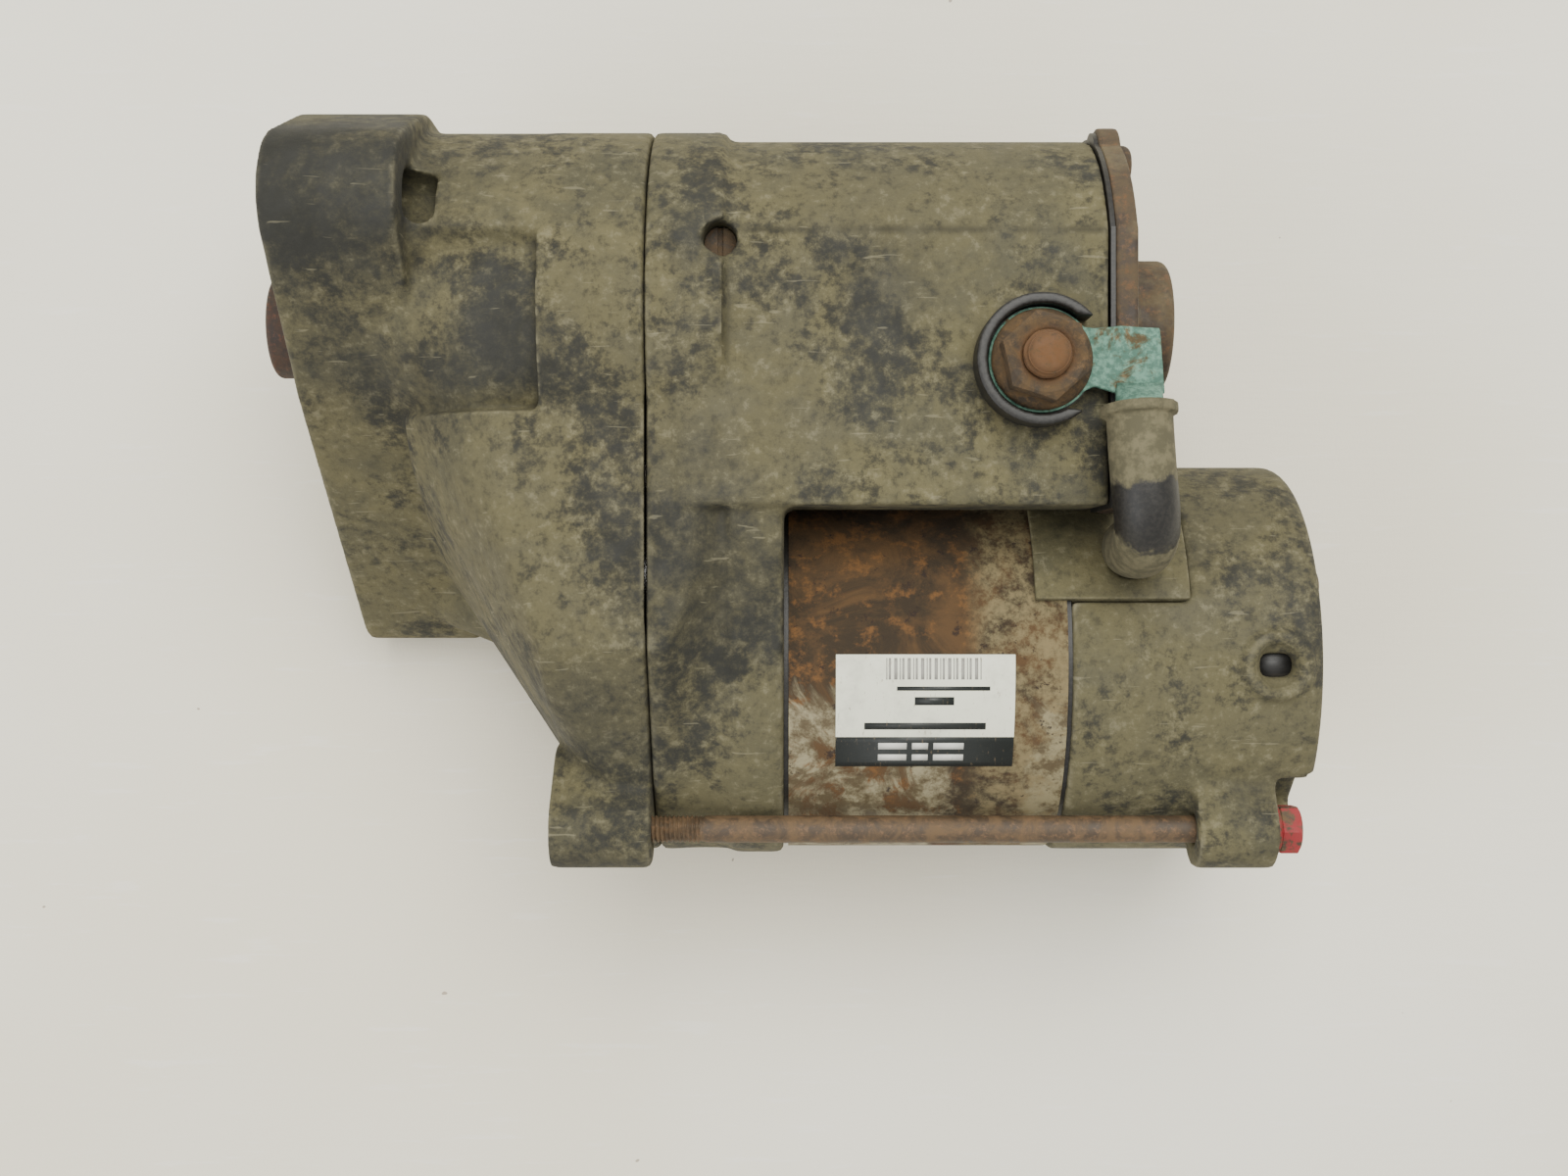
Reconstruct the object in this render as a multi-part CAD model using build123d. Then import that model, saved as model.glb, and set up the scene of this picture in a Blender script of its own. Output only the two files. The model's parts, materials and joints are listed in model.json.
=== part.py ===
from build123d import *
from math import acos, atan2, cos, degrees, hypot, pi, radians, sin, sqrt, tan
import os

# Offset gear-reduction starter motor, in millimetres.
# The origin is where the pinion's axis meets the mounting face. +X runs to the rear of the motor,
# the motor lies to -Y of the pinion's axis, and +Z is the side that carries the motor terminal.

# Axes: the pinion, clutch and solenoid share y = z = 0. The armature turns beside them.
MOTOR_Y, MOTOR_Z = -61.7, -15.0
DRIVE = (0.0, 0.0)
MOTOR = (MOTOR_Y, MOTOR_Z)

# Stations along X
EAR_BACK_X = 23.0
NOSE_X = 24.0
CASE_X = 45.0
SEAM_X = 63.0
BAND_X = 76.0
YOKE_X0, YOKE_X1 = 87.1, 135.6
SEAL = 0.8
SOLENOID_X0, SOLENOID_X1 = 80.0, 141.0
COVER_X0, COVER_X1 = YOKE_X1 + SEAL, 180.4

# Radii
YOKE_R, YOKE_WALL = 36.0, 3.5
RIM_R = 37.2
FLANGE_R = 36.6
BODY_R = 33.2
BAND_R = 34.8
COIL_CAVITY_R = 23.5
WALL = 3.2

# Mounting ears: centres in (y, z), boss radius and M10 clearance hole
NEAR_EAR, FAR_EAR = (17.0, 28.0), (-46.5, -43.0)
EAR_R = 12.3
EAR_HOLE_R = 5.25

# The gear case: its flat top, and where the web, the pocket and the gear chamber lie
CASE_TOP_Z = 30.2
IDLER_CASE_R = 24.8
WEB_Y = -18.2
POCKET_X1 = 45.9
CHAMBER_R = 31.4

# The flat pad on the solenoid housing that carries the motor terminal
PAD_Z = 31.3
PAD_EDGE_Y = 11.8
PAD_CORNER_Y = -34.4
TERMINAL_X, TERMINAL_Y = 128.8, -10.6
STUD_R, STUD_CORE_R, NUT_H = 4.0, 3.4, 7.0

# Gears: module, pressure angle, teeth and profile shifts of armature, idler and clutch gears
MODULE = 1.75
PRESSURE = radians(20)
TEETH = {"armature": 10, "idler": 22, "clutch": 32, "pinion": 11}
SHIFT = {"armature": 0.4, "idler": -0.4, "clutch": 0.4, "pinion": 0.2}
PINION_MODULE = 2.25
BACKLASH = 0.08
ARMATURE_GEAR_X = (47.0, 62.0)
IDLER_X = (47.0, 61.5)
CLUTCH_GEAR_X = (47.5, 60.0)
CHAMBER_X = 46.6

# Through bolts and cover screws
BOLT_R, BOLT_CIRCLE_R = 2.5, 40.0
BOLT_ANGLE = 137.7
BOLT_HEAD_FLATS, BOLT_HEAD_H = 8.0, 4.6
BOLT_X0, LUG_X1 = 46.5, 173.2
BOLT_BOSS_R = 6.9
COVER_SCREW_CIRCLE_R = 29.1
COVER_SCREW_ANGLES = (20, 140, 260)

# Travel of the plunger and the pinion, towards -X
TRAVEL = 11.0

# The switch terminal's spade, on the side away from the motor terminal
SWITCH_Y = -19.0
SWITCH_BLADE_X, SWITCH_HOLE_X = (124.9, 131.1), (124.5, 131.5)

# Clearances: a running fit and a light gap
RUN = 0.05
GAP = 0.3


# ---------------------------------------------------------------- helpers

def cylinder(radius, x0, x1, centre=DRIVE):
    """A cylinder along X from x0 to x1 about (y, z) = centre."""
    plane = Plane.YZ.offset(x0)
    return extrude(plane * Pos(*centre) * Circle(radius), amount=x1 - x0)


def cone(r0, r1, x0, x1, centre=DRIVE):
    """A frustum along X, r0 at x0 and r1 at x1."""
    lay_down = Plane(origin=(x0, *centre), x_dir=(0, 1, 0), z_dir=(1, 0, 0))
    return lay_down * Cone(r0, r1, x1 - x0, align=(Align.CENTER, Align.CENTER, Align.MIN))


def ring(r_in, r_out, x0, x1, centre=DRIVE):
    return cylinder(r_out, x0, x1, centre) - cylinder(r_in, x0, x1, centre)


def box(x0, x1, y0, y1, z0, z1):
    middle = ((x0 + x1) / 2, (y0 + y1) / 2, (z0 + z1) / 2)
    return Pos(*middle) * Box(x1 - x0, y1 - y0, z1 - z0)


def post(radius, z0, z1, x, y):
    """A cylinder along Z."""
    return extrude(Plane.XY.offset(z0) * Pos(x, y) * Circle(radius), amount=z1 - z0)


def prism(face, x0, x1):
    """Extrudes a face drawn in (y, z) from x0 to x1."""
    return extrude(Plane.YZ.offset(x0) * face, amount=x1 - x0)


def around(centre, radius, angle):
    """The point (y, z) at a radius and an angle, in degrees from +Y towards +Z."""
    return (centre[0] + radius * cos(radians(angle)), centre[1] + radius * sin(radians(angle)))


def hull(circles):
    """The convex outline round circles (y, z, r), listed anticlockwise, as a face in (y, z)."""
    normals = []
    for (y0, z0, r0), (y1, z1, r1) in zip(circles, circles[1:] + circles[:1]):
        dy, dz = y1 - y0, z1 - z0
        length = hypot(dy, dz)
        along = (r0 - r1) / length
        across = sqrt(1 - along * along)
        ny = along * dy / length + across * dz / length
        nz = along * dz / length - across * dy / length
        normals.append(atan2(nz, ny))
    edges = []
    for i, (y, z, r) in enumerate(circles):
        a0, a1 = normals[i - 1], normals[i]
        while a1 < a0:
            a1 += 2 * pi
        arc = [(y + r * cos(a), z + r * sin(a)) for a in (a0, (a0 + a1) / 2, a1)]
        edges.append(ThreePointArc(*arc))
        y1, z1, r1 = circles[(i + 1) % len(circles)]
        start_of_next = (y1 + r1 * cos(normals[i]), z1 + r1 * sin(normals[i]))
        edges.append(Line(arc[2], start_of_next))
    return make_face(edges)


def hull_loft(circles0, x0, circles1, x1):
    """A straight-sided loft between two hulls with the same number of circles."""
    faces = [Plane.YZ.offset(x) * hull(c) for c, x in ((circles0, x0), (circles1, x1))]
    return loft([f.face() for f in faces], ruled=True)


def sector(r_in, r_out, x0, x1, a0, a1, centre=DRIVE):
    """A piece of a ring between two angles, in degrees."""
    middle = (a0 + a1) / 2
    outer = ThreePointArc(*[around(centre, r_out, a) for a in (a0, middle, a1)])
    inner = ThreePointArc(*[around(centre, r_in, a) for a in (a1, middle, a0)])
    sides = [Line(outer @ 1, inner @ 0), Line(inner @ 1, outer @ 0)]
    return prism(make_face([outer, sides[0], inner, sides[1]]), x0, x1)


def hexagon(flats, x0, x1, centre, turn=0):
    shape = RegularPolygon(flats / 2, 6, major_radius=False, rotation=turn)
    return prism(Pos(*centre) * shape, x0, x1)


def helix_spring(radius, wire_r, x0, x1, turns, centre=DRIVE):
    """A coil spring along X whose wire lies between x0 and x1."""
    length = x1 - x0 - 2 * wire_r
    path = Helix(pitch=length / turns, height=length, radius=radius)
    profile = Plane(origin=path @ 0, z_dir=path % 0) * Circle(wire_r)
    coil = sweep(profile, path=path, is_frenet=True)
    lay_down = Plane(origin=(x0 + wire_r, *centre), x_dir=(0, 1, 0), z_dir=(1, 0, 0))
    return lay_down * coil


def group(*solids):
    """Several separate solids written as one node."""
    return Compound(children=[s for item in solids for s in item.solids()])


# ---------------------------------------------------------------- gears

def involute(angle):
    return tan(angle) - angle


def gear_face(name, module, phase):
    """A spur gear's outline in (y, z) about its own centre, with a tooth centred at phase."""
    teeth, shift = TEETH[name], SHIFT[name]
    pitch_r = module * teeth / 2
    base_r = pitch_r * cos(PRESSURE)
    tip_r = pitch_r + module * (1 + shift)
    root_r = pitch_r - module * (1.25 - shift)
    thickness = module * (pi / 2 + 2 * shift * tan(PRESSURE)) - BACKLASH
    half = thickness / (2 * pitch_r) + involute(PRESSURE)
    start_r = max(base_r, root_r)
    steps = 4

    def at(radius, angle):
        return (radius * cos(angle), radius * sin(angle))

    def flank(side, middle):
        points = []
        for i in range(steps + 1):
            radius = start_r + (tip_r - start_r) * i / steps
            open_by = half - involute(acos(min(1, base_r / radius)))
            points.append(at(radius, middle + side * open_by))
        return points

    edges = []
    pitch_angle = 2 * pi / teeth
    foot = half if start_r == base_r else half - involute(acos(base_r / root_r))
    for i in range(teeth):
        middle = phase + i * pitch_angle
        rising, falling = flank(-1, middle), flank(1, middle)[::-1]
        foot_in, foot_out = at(root_r, middle - foot), at(root_r, middle + foot)
        if start_r > root_r:
            edges.append(Line(foot_in, rising[0]))
        edges.append(Spline(*rising))
        edges.append(ThreePointArc(rising[-1], at(tip_r, middle), falling[0]))
        edges.append(Spline(*falling))
        if start_r > root_r:
            edges.append(Line(falling[-1], foot_out))
        gap = middle + pitch_angle / 2
        next_foot = at(root_r, middle + pitch_angle - foot)
        edges.append(ThreePointArc(foot_out, at(root_r, gap), next_foot))
    return make_face(edges)


def gear(name, x_range, centre, phase, module=MODULE):
    return prism(Pos(*centre) * gear_face(name, module, phase), *x_range)


def gear_train():
    """The idler's centre, and the phase of each gear so that all three are in mesh."""
    reach = MODULE * (TEETH["armature"] + TEETH["idler"]) / 2
    reach_on = MODULE * (TEETH["idler"] + TEETH["clutch"]) / 2
    apart = hypot(MOTOR_Y, MOTOR_Z)
    along = (reach**2 - reach_on**2 + apart**2) / (2 * apart)
    aside = sqrt(reach**2 - along**2)
    uy, uz = -MOTOR_Y / apart, -MOTOR_Z / apart
    centre = (MOTOR_Y + along * uy - aside * uz, MOTOR_Z + along * uz + aside * uy)
    first = atan2(centre[1] - MOTOR_Z, centre[0] - MOTOR_Y)
    second = atan2(-centre[1], -centre[0])
    idler_pitch = 2 * pi / TEETH["idler"]
    idler_phase = first + pi + idler_pitch / 2
    lead = (idler_phase - second) % idler_pitch
    clutch_gap = second + pi - lead * TEETH["idler"] / TEETH["clutch"]
    phases = {
        "armature": first,
        "idler": idler_phase,
        "clutch": clutch_gap + pi / TEETH["clutch"],
    }
    return centre, phases


IDLER, PHASE = gear_train()


# ---------------------------------------------------------------- outlines shared by the castings

def flange_outline():
    """The mounting face: two ears, a wrap round the pinion, and a lobe on the +Y side."""
    return [(14.0, 8.0, 22.5), (*NEAR_EAR, EAR_R), (0.0, 0.0, 20.8), (*FAR_EAR, EAR_R)]


def nose_outline():
    return [(0.0, 0.0, 29.5), (-14.0, 6.0, 17.0), (-12.0, -3.0, 18.0)]


def case_outline(drive_r, idler_r, motor_r):
    return [(*DRIVE, drive_r), (*IDLER, idler_r), (*MOTOR, motor_r)]


def body_profile(grow=0.0):
    """The solenoid housing's section: a circle with a squared corner under the pad."""
    radius = BODY_R + grow
    corner = Pos((PAD_CORNER_Y + PAD_EDGE_Y) / 2, PAD_Z / 2) * Rectangle(
        PAD_EDGE_Y - PAD_CORNER_Y + 2 * grow, PAD_Z + 2 * grow
    )
    above = Pos(PAD_EDGE_Y - 50 + grow, PAD_Z + 25 + grow) * Rectangle(100, 50)
    beside = Pos(*MOTOR) * Circle(YOKE_R + 1.7)
    return Circle(radius) + corner - above - beside


# ---------------------------------------------------------------- castings

def bolt_centres():
    return [around(MOTOR, BOLT_CIRCLE_R, BOLT_ANGLE + turn) for turn in (0, 180)]


def below_top(shape, top_z):
    """The part of a shape below z = top_z, which gives the gear case its flat top."""
    return shape & box(-10, 200, -120, 60, -80, top_z)


def drive_housing():
    flange = prism(hull(flange_outline()), 0, EAR_BACK_X)
    case = case_outline(BAND_R, IDLER_CASE_R, 20.0)
    skirt = case_outline(BAND_R, IDLER_CASE_R, FLANGE_R)
    shape = flange + prism(hull(nose_outline()), 12, NOSE_X)
    shape += hull_loft(nose_outline(), NOSE_X, case, CASE_X)
    shape += hull_loft(case, CASE_X, skirt, 57.0)
    shape += prism(hull(skirt), 57.0, SEAM_X)
    shape -= pocket()
    shape += box(21.0, 30.0, 26.0, 35.6, -12.0, -9.0)
    for centre in bolt_centres():
        web_foot = around(MOTOR, 30.0, BOLT_ANGLE + (0 if centre[0] < MOTOR_Y else 180))
        shape += prism(hull([(*centre, BOLT_BOSS_R), (*web_foot, BOLT_BOSS_R)]), 44.9, SEAM_X)
    # Pinion chamber, front bearing seat and gear chamber
    shape -= cylinder(16.8, -1, 21.5) + cylinder(12.6, 20, 25.5) + cylinder(18.5 + 0.01, 25.0, 34.0)
    shape -= cylinder(20.8, 34.0, CHAMBER_X + 0.5)
    shape -= prism(hull(case_outline(CHAMBER_R, 21.4, 12.6)), CHAMBER_X, SEAM_X + 1)
    shape -= cylinder(6.5 + 0.01, 37.6, CHAMBER_X + 1, IDLER)
    for ear in (NEAR_EAR, FAR_EAR):
        shape -= cylinder(EAR_HOLE_R, -1, EAR_BACK_X + 1, ear)
        shape -= cylinder(9.5, EAR_BACK_X, EAR_BACK_X + 12, ear)
    for centre in bolt_centres():
        shape -= cylinder(BOLT_R + 0.01, BOLT_X0, SEAM_X + 2, centre)
    for centre in screw_centres():
        shape -= cylinder(2.0, 52.0, SEAM_X + 1, centre)
    return shape


def pocket():
    """The shallow recess in the nose, on the terminal side, between the ear and the gear case."""
    floor = [(24.5, WEB_Y), (POCKET_X1, WEB_Y), (POCKET_X1, 6.0), (27.0, 6.0)]
    outline = make_face(Polyline(*floor, close=True))
    return extrude(Plane.XY.offset(26.2) * outline, amount=20)


def screw_centres():
    """Two screws that hold the drive housing to the solenoid housing, outside the gear chamber."""
    return [around(DRIVE, 32.6, -24), around(DRIVE, 32.6, -100)]


def solenoid_housing():
    skirt = case_outline(BAND_R, IDLER_CASE_R, FLANGE_R)
    low_skirt = [(-2.0, 0.0, 28.0), (-40.0, 2.0, 23.5), (*MOTOR, FLANGE_R)]
    joint = prism(hull(skirt), SEAM_X, 66.0) + hull_loft(skirt, 66.0, low_skirt, 77.5)
    shape = below_top(joint, CASE_TOP_Z) + cylinder(BAND_R, SEAM_X, BAND_X)
    shape += prism(hull([(-24.0, PAD_Z - 22.0, 22.0), (*MOTOR, RIM_R)]), 77.0, YOKE_X0 - SEAL)
    shape += prism(body_profile(), 68.6, SOLENOID_X1)
    shape += ring(29.5, YOKE_R - YOKE_WALL - RUN, 80.0, YOKE_X0 + 3.0, MOTOR)
    shape += box(BAND_X - 3.0, BAND_X - 0.6, 30.0, 35.9, -6.0, 2.0)
    for angle in COVER_SCREW_ANGLES:
        shape += cylinder(4.1, 118.0, SOLENOID_X1, around(DRIVE, COVER_SCREW_CIRCLE_R, angle))
    shape += post(12.0, -PAD_Z, -20.0, TERMINAL_X, -TERMINAL_Y)
    shape -= post(12.0, -PAD_Z - 10, -PAD_Z, TERMINAL_X, -TERMINAL_Y)
    # Keep the yoke's space and the pad's plane clear
    shape -= cylinder(YOKE_R + 0.8, YOKE_X0 - SEAL + 3.8, 200, MOTOR)
    shape -= ring(YOKE_R - YOKE_WALL - RUN, YOKE_R + 0.8, YOKE_X0 - SEAL, YOKE_X0 + 4, MOTOR)
    # Bearing seats, rod hole, coil cavity and contact chamber
    shape -= cylinder(18.5 + 0.01, SEAM_X - 1, 71.0) + cylinder(11.0, 70.0, 74.5)
    shape -= cylinder(3.3, 74.0, SOLENOID_X0 + 1)
    shape -= cylinder(COIL_CAVITY_R, SOLENOID_X0, SOLENOID_X1 + 1)
    chamber = Circle(29.6) - Pos(*MOTOR) * Circle(YOKE_R + 4.4)
    shape -= prism(chamber, 121.0, SOLENOID_X1 + 1) - screw_posts(118.0)
    shape -= prism(chamber - Circle(COIL_CAVITY_R + 2.6), 92.0, 122.0) - ribs() - screw_posts(80.0)
    # Armature bearing seat, motor cavity and idler pin
    shape -= cylinder(12.2, SEAM_X - 1, 66, MOTOR) + cylinder(14.0 + 0.01, 64.5, 73.0, MOTOR)
    shape -= cylinder(28.4, 72.5, YOKE_X0 + 4, MOTOR)
    shape -= cylinder(6.5 + 0.01, SEAM_X - 1, 67.6, IDLER)
    # Terminal holes, cover screw holes, housing screws and the plug hole
    shape -= post(5.2, 15, 60, TERMINAL_X, TERMINAL_Y) + post(5.2, -60, -15, TERMINAL_X, -TERMINAL_Y)
    shape -= box(*SWITCH_HOLE_X, SWITCH_Y - 1.4, SWITCH_Y + 1.4, -45, -15)
    for angle in COVER_SCREW_ANGLES:
        centre = around(DRIVE, COVER_SCREW_CIRCLE_R, angle)
        shape -= cylinder(2.0 + 0.01, 129.0, SOLENOID_X1 + 1, centre)
    for centre in screw_centres():
        shape -= cylinder(2.1, SEAM_X - 1, 75, centre) + cylinder(3.8, 72.0, 84, centre)
    for centre in bolt_centres():
        shape -= cylinder(BOLT_R + 0.25, SEAM_X - 1, 90, centre)
    shape -= post(3.0, 22.0, 50.0, 75.5, 10.4)
    return shape


def screw_posts(x0):
    posts = [
        cylinder(4.1, x0, SOLENOID_X1, around(DRIVE, COVER_SCREW_CIRCLE_R, angle))
        for angle in COVER_SCREW_ANGLES
    ]
    return posts[0] + posts[1] + posts[2]


def ribs():
    """Radial ribs between the coil's wall and the outer wall."""
    shape = Part()
    for angle in (60, 100, 220, 300, 340):
        middle = around(DRIVE, 28.0, angle)
        rib = Rectangle(9.0, 2.4, rotation=angle)
        shape += prism(Pos(*middle) * rib, 80.0, 122.0)
    return shape


def yoke():
    return ring(YOKE_R - YOKE_WALL, YOKE_R, YOKE_X0, YOKE_X1, MOTOR)


HOLDER_SCREW_ANGLES = (57, 237)
GROMMET_ANGLES = (41.5, 72.0)
GROMMET_R = 37.4
GROMMET_X = (130.0, 157.0)
DRAIN_X = 171.7


def end_cover():
    shape = cylinder(FLANGE_R, COVER_X0, COVER_X1, MOTOR)
    rim = shape.edges().filter_by(GeomType.CIRCLE).sort_by(Axis.X)[-1]
    shape = fillet(rim, 3.0)
    angles = [BOLT_ANGLE, BOLT_ANGLE + 180]
    for centre, angle in zip(bolt_centres(), angles):
        foot = around(MOTOR, 30.0, angle)
        shape += prism(hull([(*centre, BOLT_BOSS_R), (*foot, 9.0)]), 159.0, LUG_X1)
        notch = Plane.YZ.offset(LUG_X1) * Pos(*centre) * Rectangle(24, 17, rotation=angle)
        shape -= extrude(notch, amount=10)
    shape += post(6.1, MOTOR_Z + 30, MOTOR_Z + FLANGE_R + 1.4, DRAIN_X, MOTOR_Y)
    inside = cylinder(FLANGE_R - WALL, COVER_X0 - 4, 162.0, MOTOR)
    inside += cone(FLANGE_R - WALL, 24.0, 162.0, 176.8, MOTOR)
    shape -= inside
    shape += cylinder(15.5, 164.5, 178.0, MOTOR)
    shape -= cylinder(12.0 + 0.01, 163.0, 173.5, MOTOR) + cylinder(8.0, 173.0, 176.8, MOTOR)
    spigot_r = YOKE_R - YOKE_WALL - RUN
    shape += ring(spigot_r - WALL, spigot_r, COVER_X0 - 3.2, COVER_X0 + 3, MOTOR)
    shape += ring(spigot_r - WALL, spigot_r + 2, COVER_X0, COVER_X0 + 3, MOTOR)
    for angle in HOLDER_SCREW_ANGLES:
        centre = around(MOTOR, 25.0, angle)
        shape += cylinder(4.5, 165.0, 177.5, centre)
        shape -= cylinder(2.1, 160.0, 190.0, centre)
    for centre in bolt_centres():
        shape -= cylinder(BOLT_R + 0.25, 150.0, 190.0, centre)
    # Grommet slot and the drain's rectangular hole
    shape -= sector(25.0, 45.0, COVER_X0 - 5, GROMMET_X[1], *GROMMET_ANGLES, MOTOR)
    shape -= post(4.1, MOTOR_Z + FLANGE_R - 0.4, MOTOR_Z + FLANGE_R + 3, DRAIN_X, MOTOR_Y)
    shape -= box(DRAIN_X - 2.9, DRAIN_X + 2.9, MOTOR_Y - 2.05, MOTOR_Y + 2.05, MOTOR_Z + 20, 40)
    return shape


def solenoid_cover():
    """The steel end plate with three screw lobes and a deep-drawn cup for the plunger's rod."""
    x0 = SOLENOID_X1 + SEAL
    plate = body_profile(0.6)
    for angle in COVER_SCREW_ANGLES:
        plate += Pos(*around(DRIVE, COVER_SCREW_CIRCLE_R, angle)) * Circle(6.6)
    plate -= Pos(*MOTOR) * Circle(YOKE_R + 1.9)
    shape = prism(plate, x0, x0 + 3.9)
    cup = cylinder(12.0, x0, 156.3)
    rim = cup.edges().filter_by(GeomType.CIRCLE).sort_by(Axis.X)[-1]
    shape += fillet(rim, 1.6)
    shape -= cylinder(10.4, x0 - 1, 154.6)
    shape -= prism(Circle(26.0) - Pos(*MOTOR) * Circle(YOKE_R + 7), x0 - 1, x0 + 2.2) - screw_posts(120)
    for angle in COVER_SCREW_ANGLES:
        shape -= cylinder(2.2, x0 - 1, x0 + 8, around(DRIVE, COVER_SCREW_CIRCLE_R, angle))
    return shape


def solenoid_cover_gasket():
    face = body_profile(0.4) - Circle(26.0)
    for angle in COVER_SCREW_ANGLES:
        centre = Pos(*around(DRIVE, COVER_SCREW_CIRCLE_R, angle))
        face += centre * Circle(5.8)
        face -= centre * Circle(2.2)
    face -= Pos(*MOTOR) * Circle(YOKE_R + 1.9)
    return prism(face, SOLENOID_X1, SOLENOID_X1 + SEAL)


# ---------------------------------------------------------------- fasteners

def round_head(radius, height, x0, centre):
    """A domed screw head on the plane x0, with a cross recess."""
    head = cylinder(radius, x0, x0 + height, centre)
    rim = head.edges().filter_by(GeomType.CIRCLE).sort_by(Axis.X)[-1]
    head = fillet(rim, height * 0.6)
    for turn in (0, 90):
        bar = Pos(*centre) * Rectangle(radius * 1.2, 1.0, rotation=turn + 25)
        head -= prism(bar, x0 + height * 0.45, x0 + height + 1)
    return head


def solenoid_cover_screws():
    x0 = SOLENOID_X1 + SEAL + 3.9
    screws = []
    for angle in COVER_SCREW_ANGLES:
        centre = around(DRIVE, COVER_SCREW_CIRCLE_R, angle)
        screws.append(cylinder(2.0, 130.0, x0, centre) + round_head(3.6, 2.6, x0, centre))
    return group(*screws)


def through_bolts():
    bolts = []
    for centre in bolt_centres():
        shank = cylinder(BOLT_R, BOLT_X0 + 1, LUG_X1, centre)
        washer = cylinder(5.0, LUG_X1, LUG_X1 + 0.8, centre)
        head = hexagon(BOLT_HEAD_FLATS, LUG_X1 + 0.8, LUG_X1 + BOLT_HEAD_H, centre, 12)
        head &= cone(6.2, 3.8, LUG_X1, LUG_X1 + BOLT_HEAD_H + 1.2, centre)
        bolts.append(shank + washer + head)
    return group(*bolts)


def housing_screws():
    screws = []
    for centre in screw_centres():
        screws.append(cylinder(2.0, 53.0, 72.0, centre) + round_head(3.5, 2.8, 72.0, centre))
    return group(*screws)


def brush_holder_screws():
    screws = []
    for angle in HOLDER_SCREW_ANGLES:
        centre = around(MOTOR, 25.0, angle)
        screws.append(cylinder(2.0, 163.2, COVER_X1, centre) + round_head(3.6, 2.4, COVER_X1, centre))
    return group(*screws)


def plug_screw():
    """The small slotted screw at the bottom of the round hole in the solenoid housing."""
    head = post(2.7, 24.0, 26.4, 75.5, 10.4) - box(75.0, 76.0, 6, 15, 25.6, 27)
    return head + post(1.6, 22.0, 24.0, 75.5, 10.4)


# ---------------------------------------------------------------- motor

def yoke_seals():
    inner = YOKE_R - YOKE_WALL
    front = ring(inner, YOKE_R - 0.4, YOKE_X0 - SEAL, YOKE_X0, MOTOR)
    rear = ring(inner, YOKE_R - 0.4, YOKE_X1, COVER_X0, MOTOR)
    return group(front, rear)


def magnets():
    outer = YOKE_R - YOKE_WALL
    pieces = [sector(25.2, outer, 91.5, 131.0, a - 33, a + 33, MOTOR) for a in (0, 90, 180, 270)]
    return group(*pieces)


SLOTS = 19
CORE_R, CORE_X = 24.6, (92.0, 130.0)
SHAFT_R = 6.0
COMMUTATOR_X = (146.0, 162.0)
COMMUTATOR_R = 14.4


def armature_shaft():
    """The shaft with its gear cut on the front end."""
    shape = gear("armature", ARMATURE_GEAR_X, MOTOR, PHASE["armature"])
    shape += cylinder(SHAFT_R, 62.0, 165.0, MOTOR) + cylinder(4.5, 165.0, 174.5, MOTOR)
    shape += cylinder(7.0, 73.2, 79.0, MOTOR)
    return shape


def armature_core():
    shape = ring(SHAFT_R, CORE_R, *CORE_X, MOTOR)
    for i in range(SLOTS):
        angle = 360 / SLOTS * i
        slot = Pos(*around(MOTOR, 19.8, angle)) * Rectangle(10.6, 2.6, rotation=angle)
        shape -= prism(slot, CORE_X[0] - 1, CORE_X[1] + 1)
    return shape


def armature_windings():
    front = ring(9.0, 23.6, 82.0, CORE_X[0], MOTOR)
    front = chamfer(front.edges().filter_by(GeomType.CIRCLE).group_by(Axis.X)[0], 2.5)
    rear = ring(9.0, 23.6, CORE_X[1], 141.0, MOTOR)
    rear = chamfer(rear.edges().filter_by(GeomType.CIRCLE).group_by(Axis.X)[-1], 2.5)
    shape = front + rear
    for i in range(SLOTS):
        angle = 360 / SLOTS * i
        bar = Pos(*around(MOTOR, 19.2, angle)) * Rectangle(8.4, 2.2, rotation=angle)
        shape += prism(bar, CORE_X[0] - 1, CORE_X[1] + 1)
    return shape


def commutator():
    """Copper bars on an insulating sleeve, each with a riser to the windings."""
    sleeve = ring(SHAFT_R, 8.0, 143.0, COMMUTATOR_X[1] + 0.5, MOTOR)
    bars = []
    for i in range(SLOTS):
        middle = 360 / SLOTS * i
        half = 360 / SLOTS / 2 - 1.3
        bar = sector(8.0, COMMUTATOR_R, *COMMUTATOR_X, middle - half, middle + half, MOTOR)
        bar += sector(8.0, 17.0, 143.5, COMMUTATOR_X[0], middle - half, middle + half, MOTOR)
        bars.append(bar)
    return group(sleeve, *bars)


BRUSH_X = (149.0, 160.0)
BRUSH_ANGLES = (12, 102, 192, 282)


def on_brush(angle, face):
    """Places a face drawn with its local x running outwards from the armature's axis."""
    return Pos(*MOTOR) * Rot(0, 0, angle) * face


def brushes():
    pieces = []
    for angle in BRUSH_ANGLES:
        face = on_brush(angle, Pos(20.3, 0) * Rectangle(11.4, 6.4))
        brush = prism(face, *BRUSH_X) - cylinder(COMMUTATOR_R + RUN, 140, 165, MOTOR)
        pieces.append(brush)
    return group(*pieces)


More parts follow.
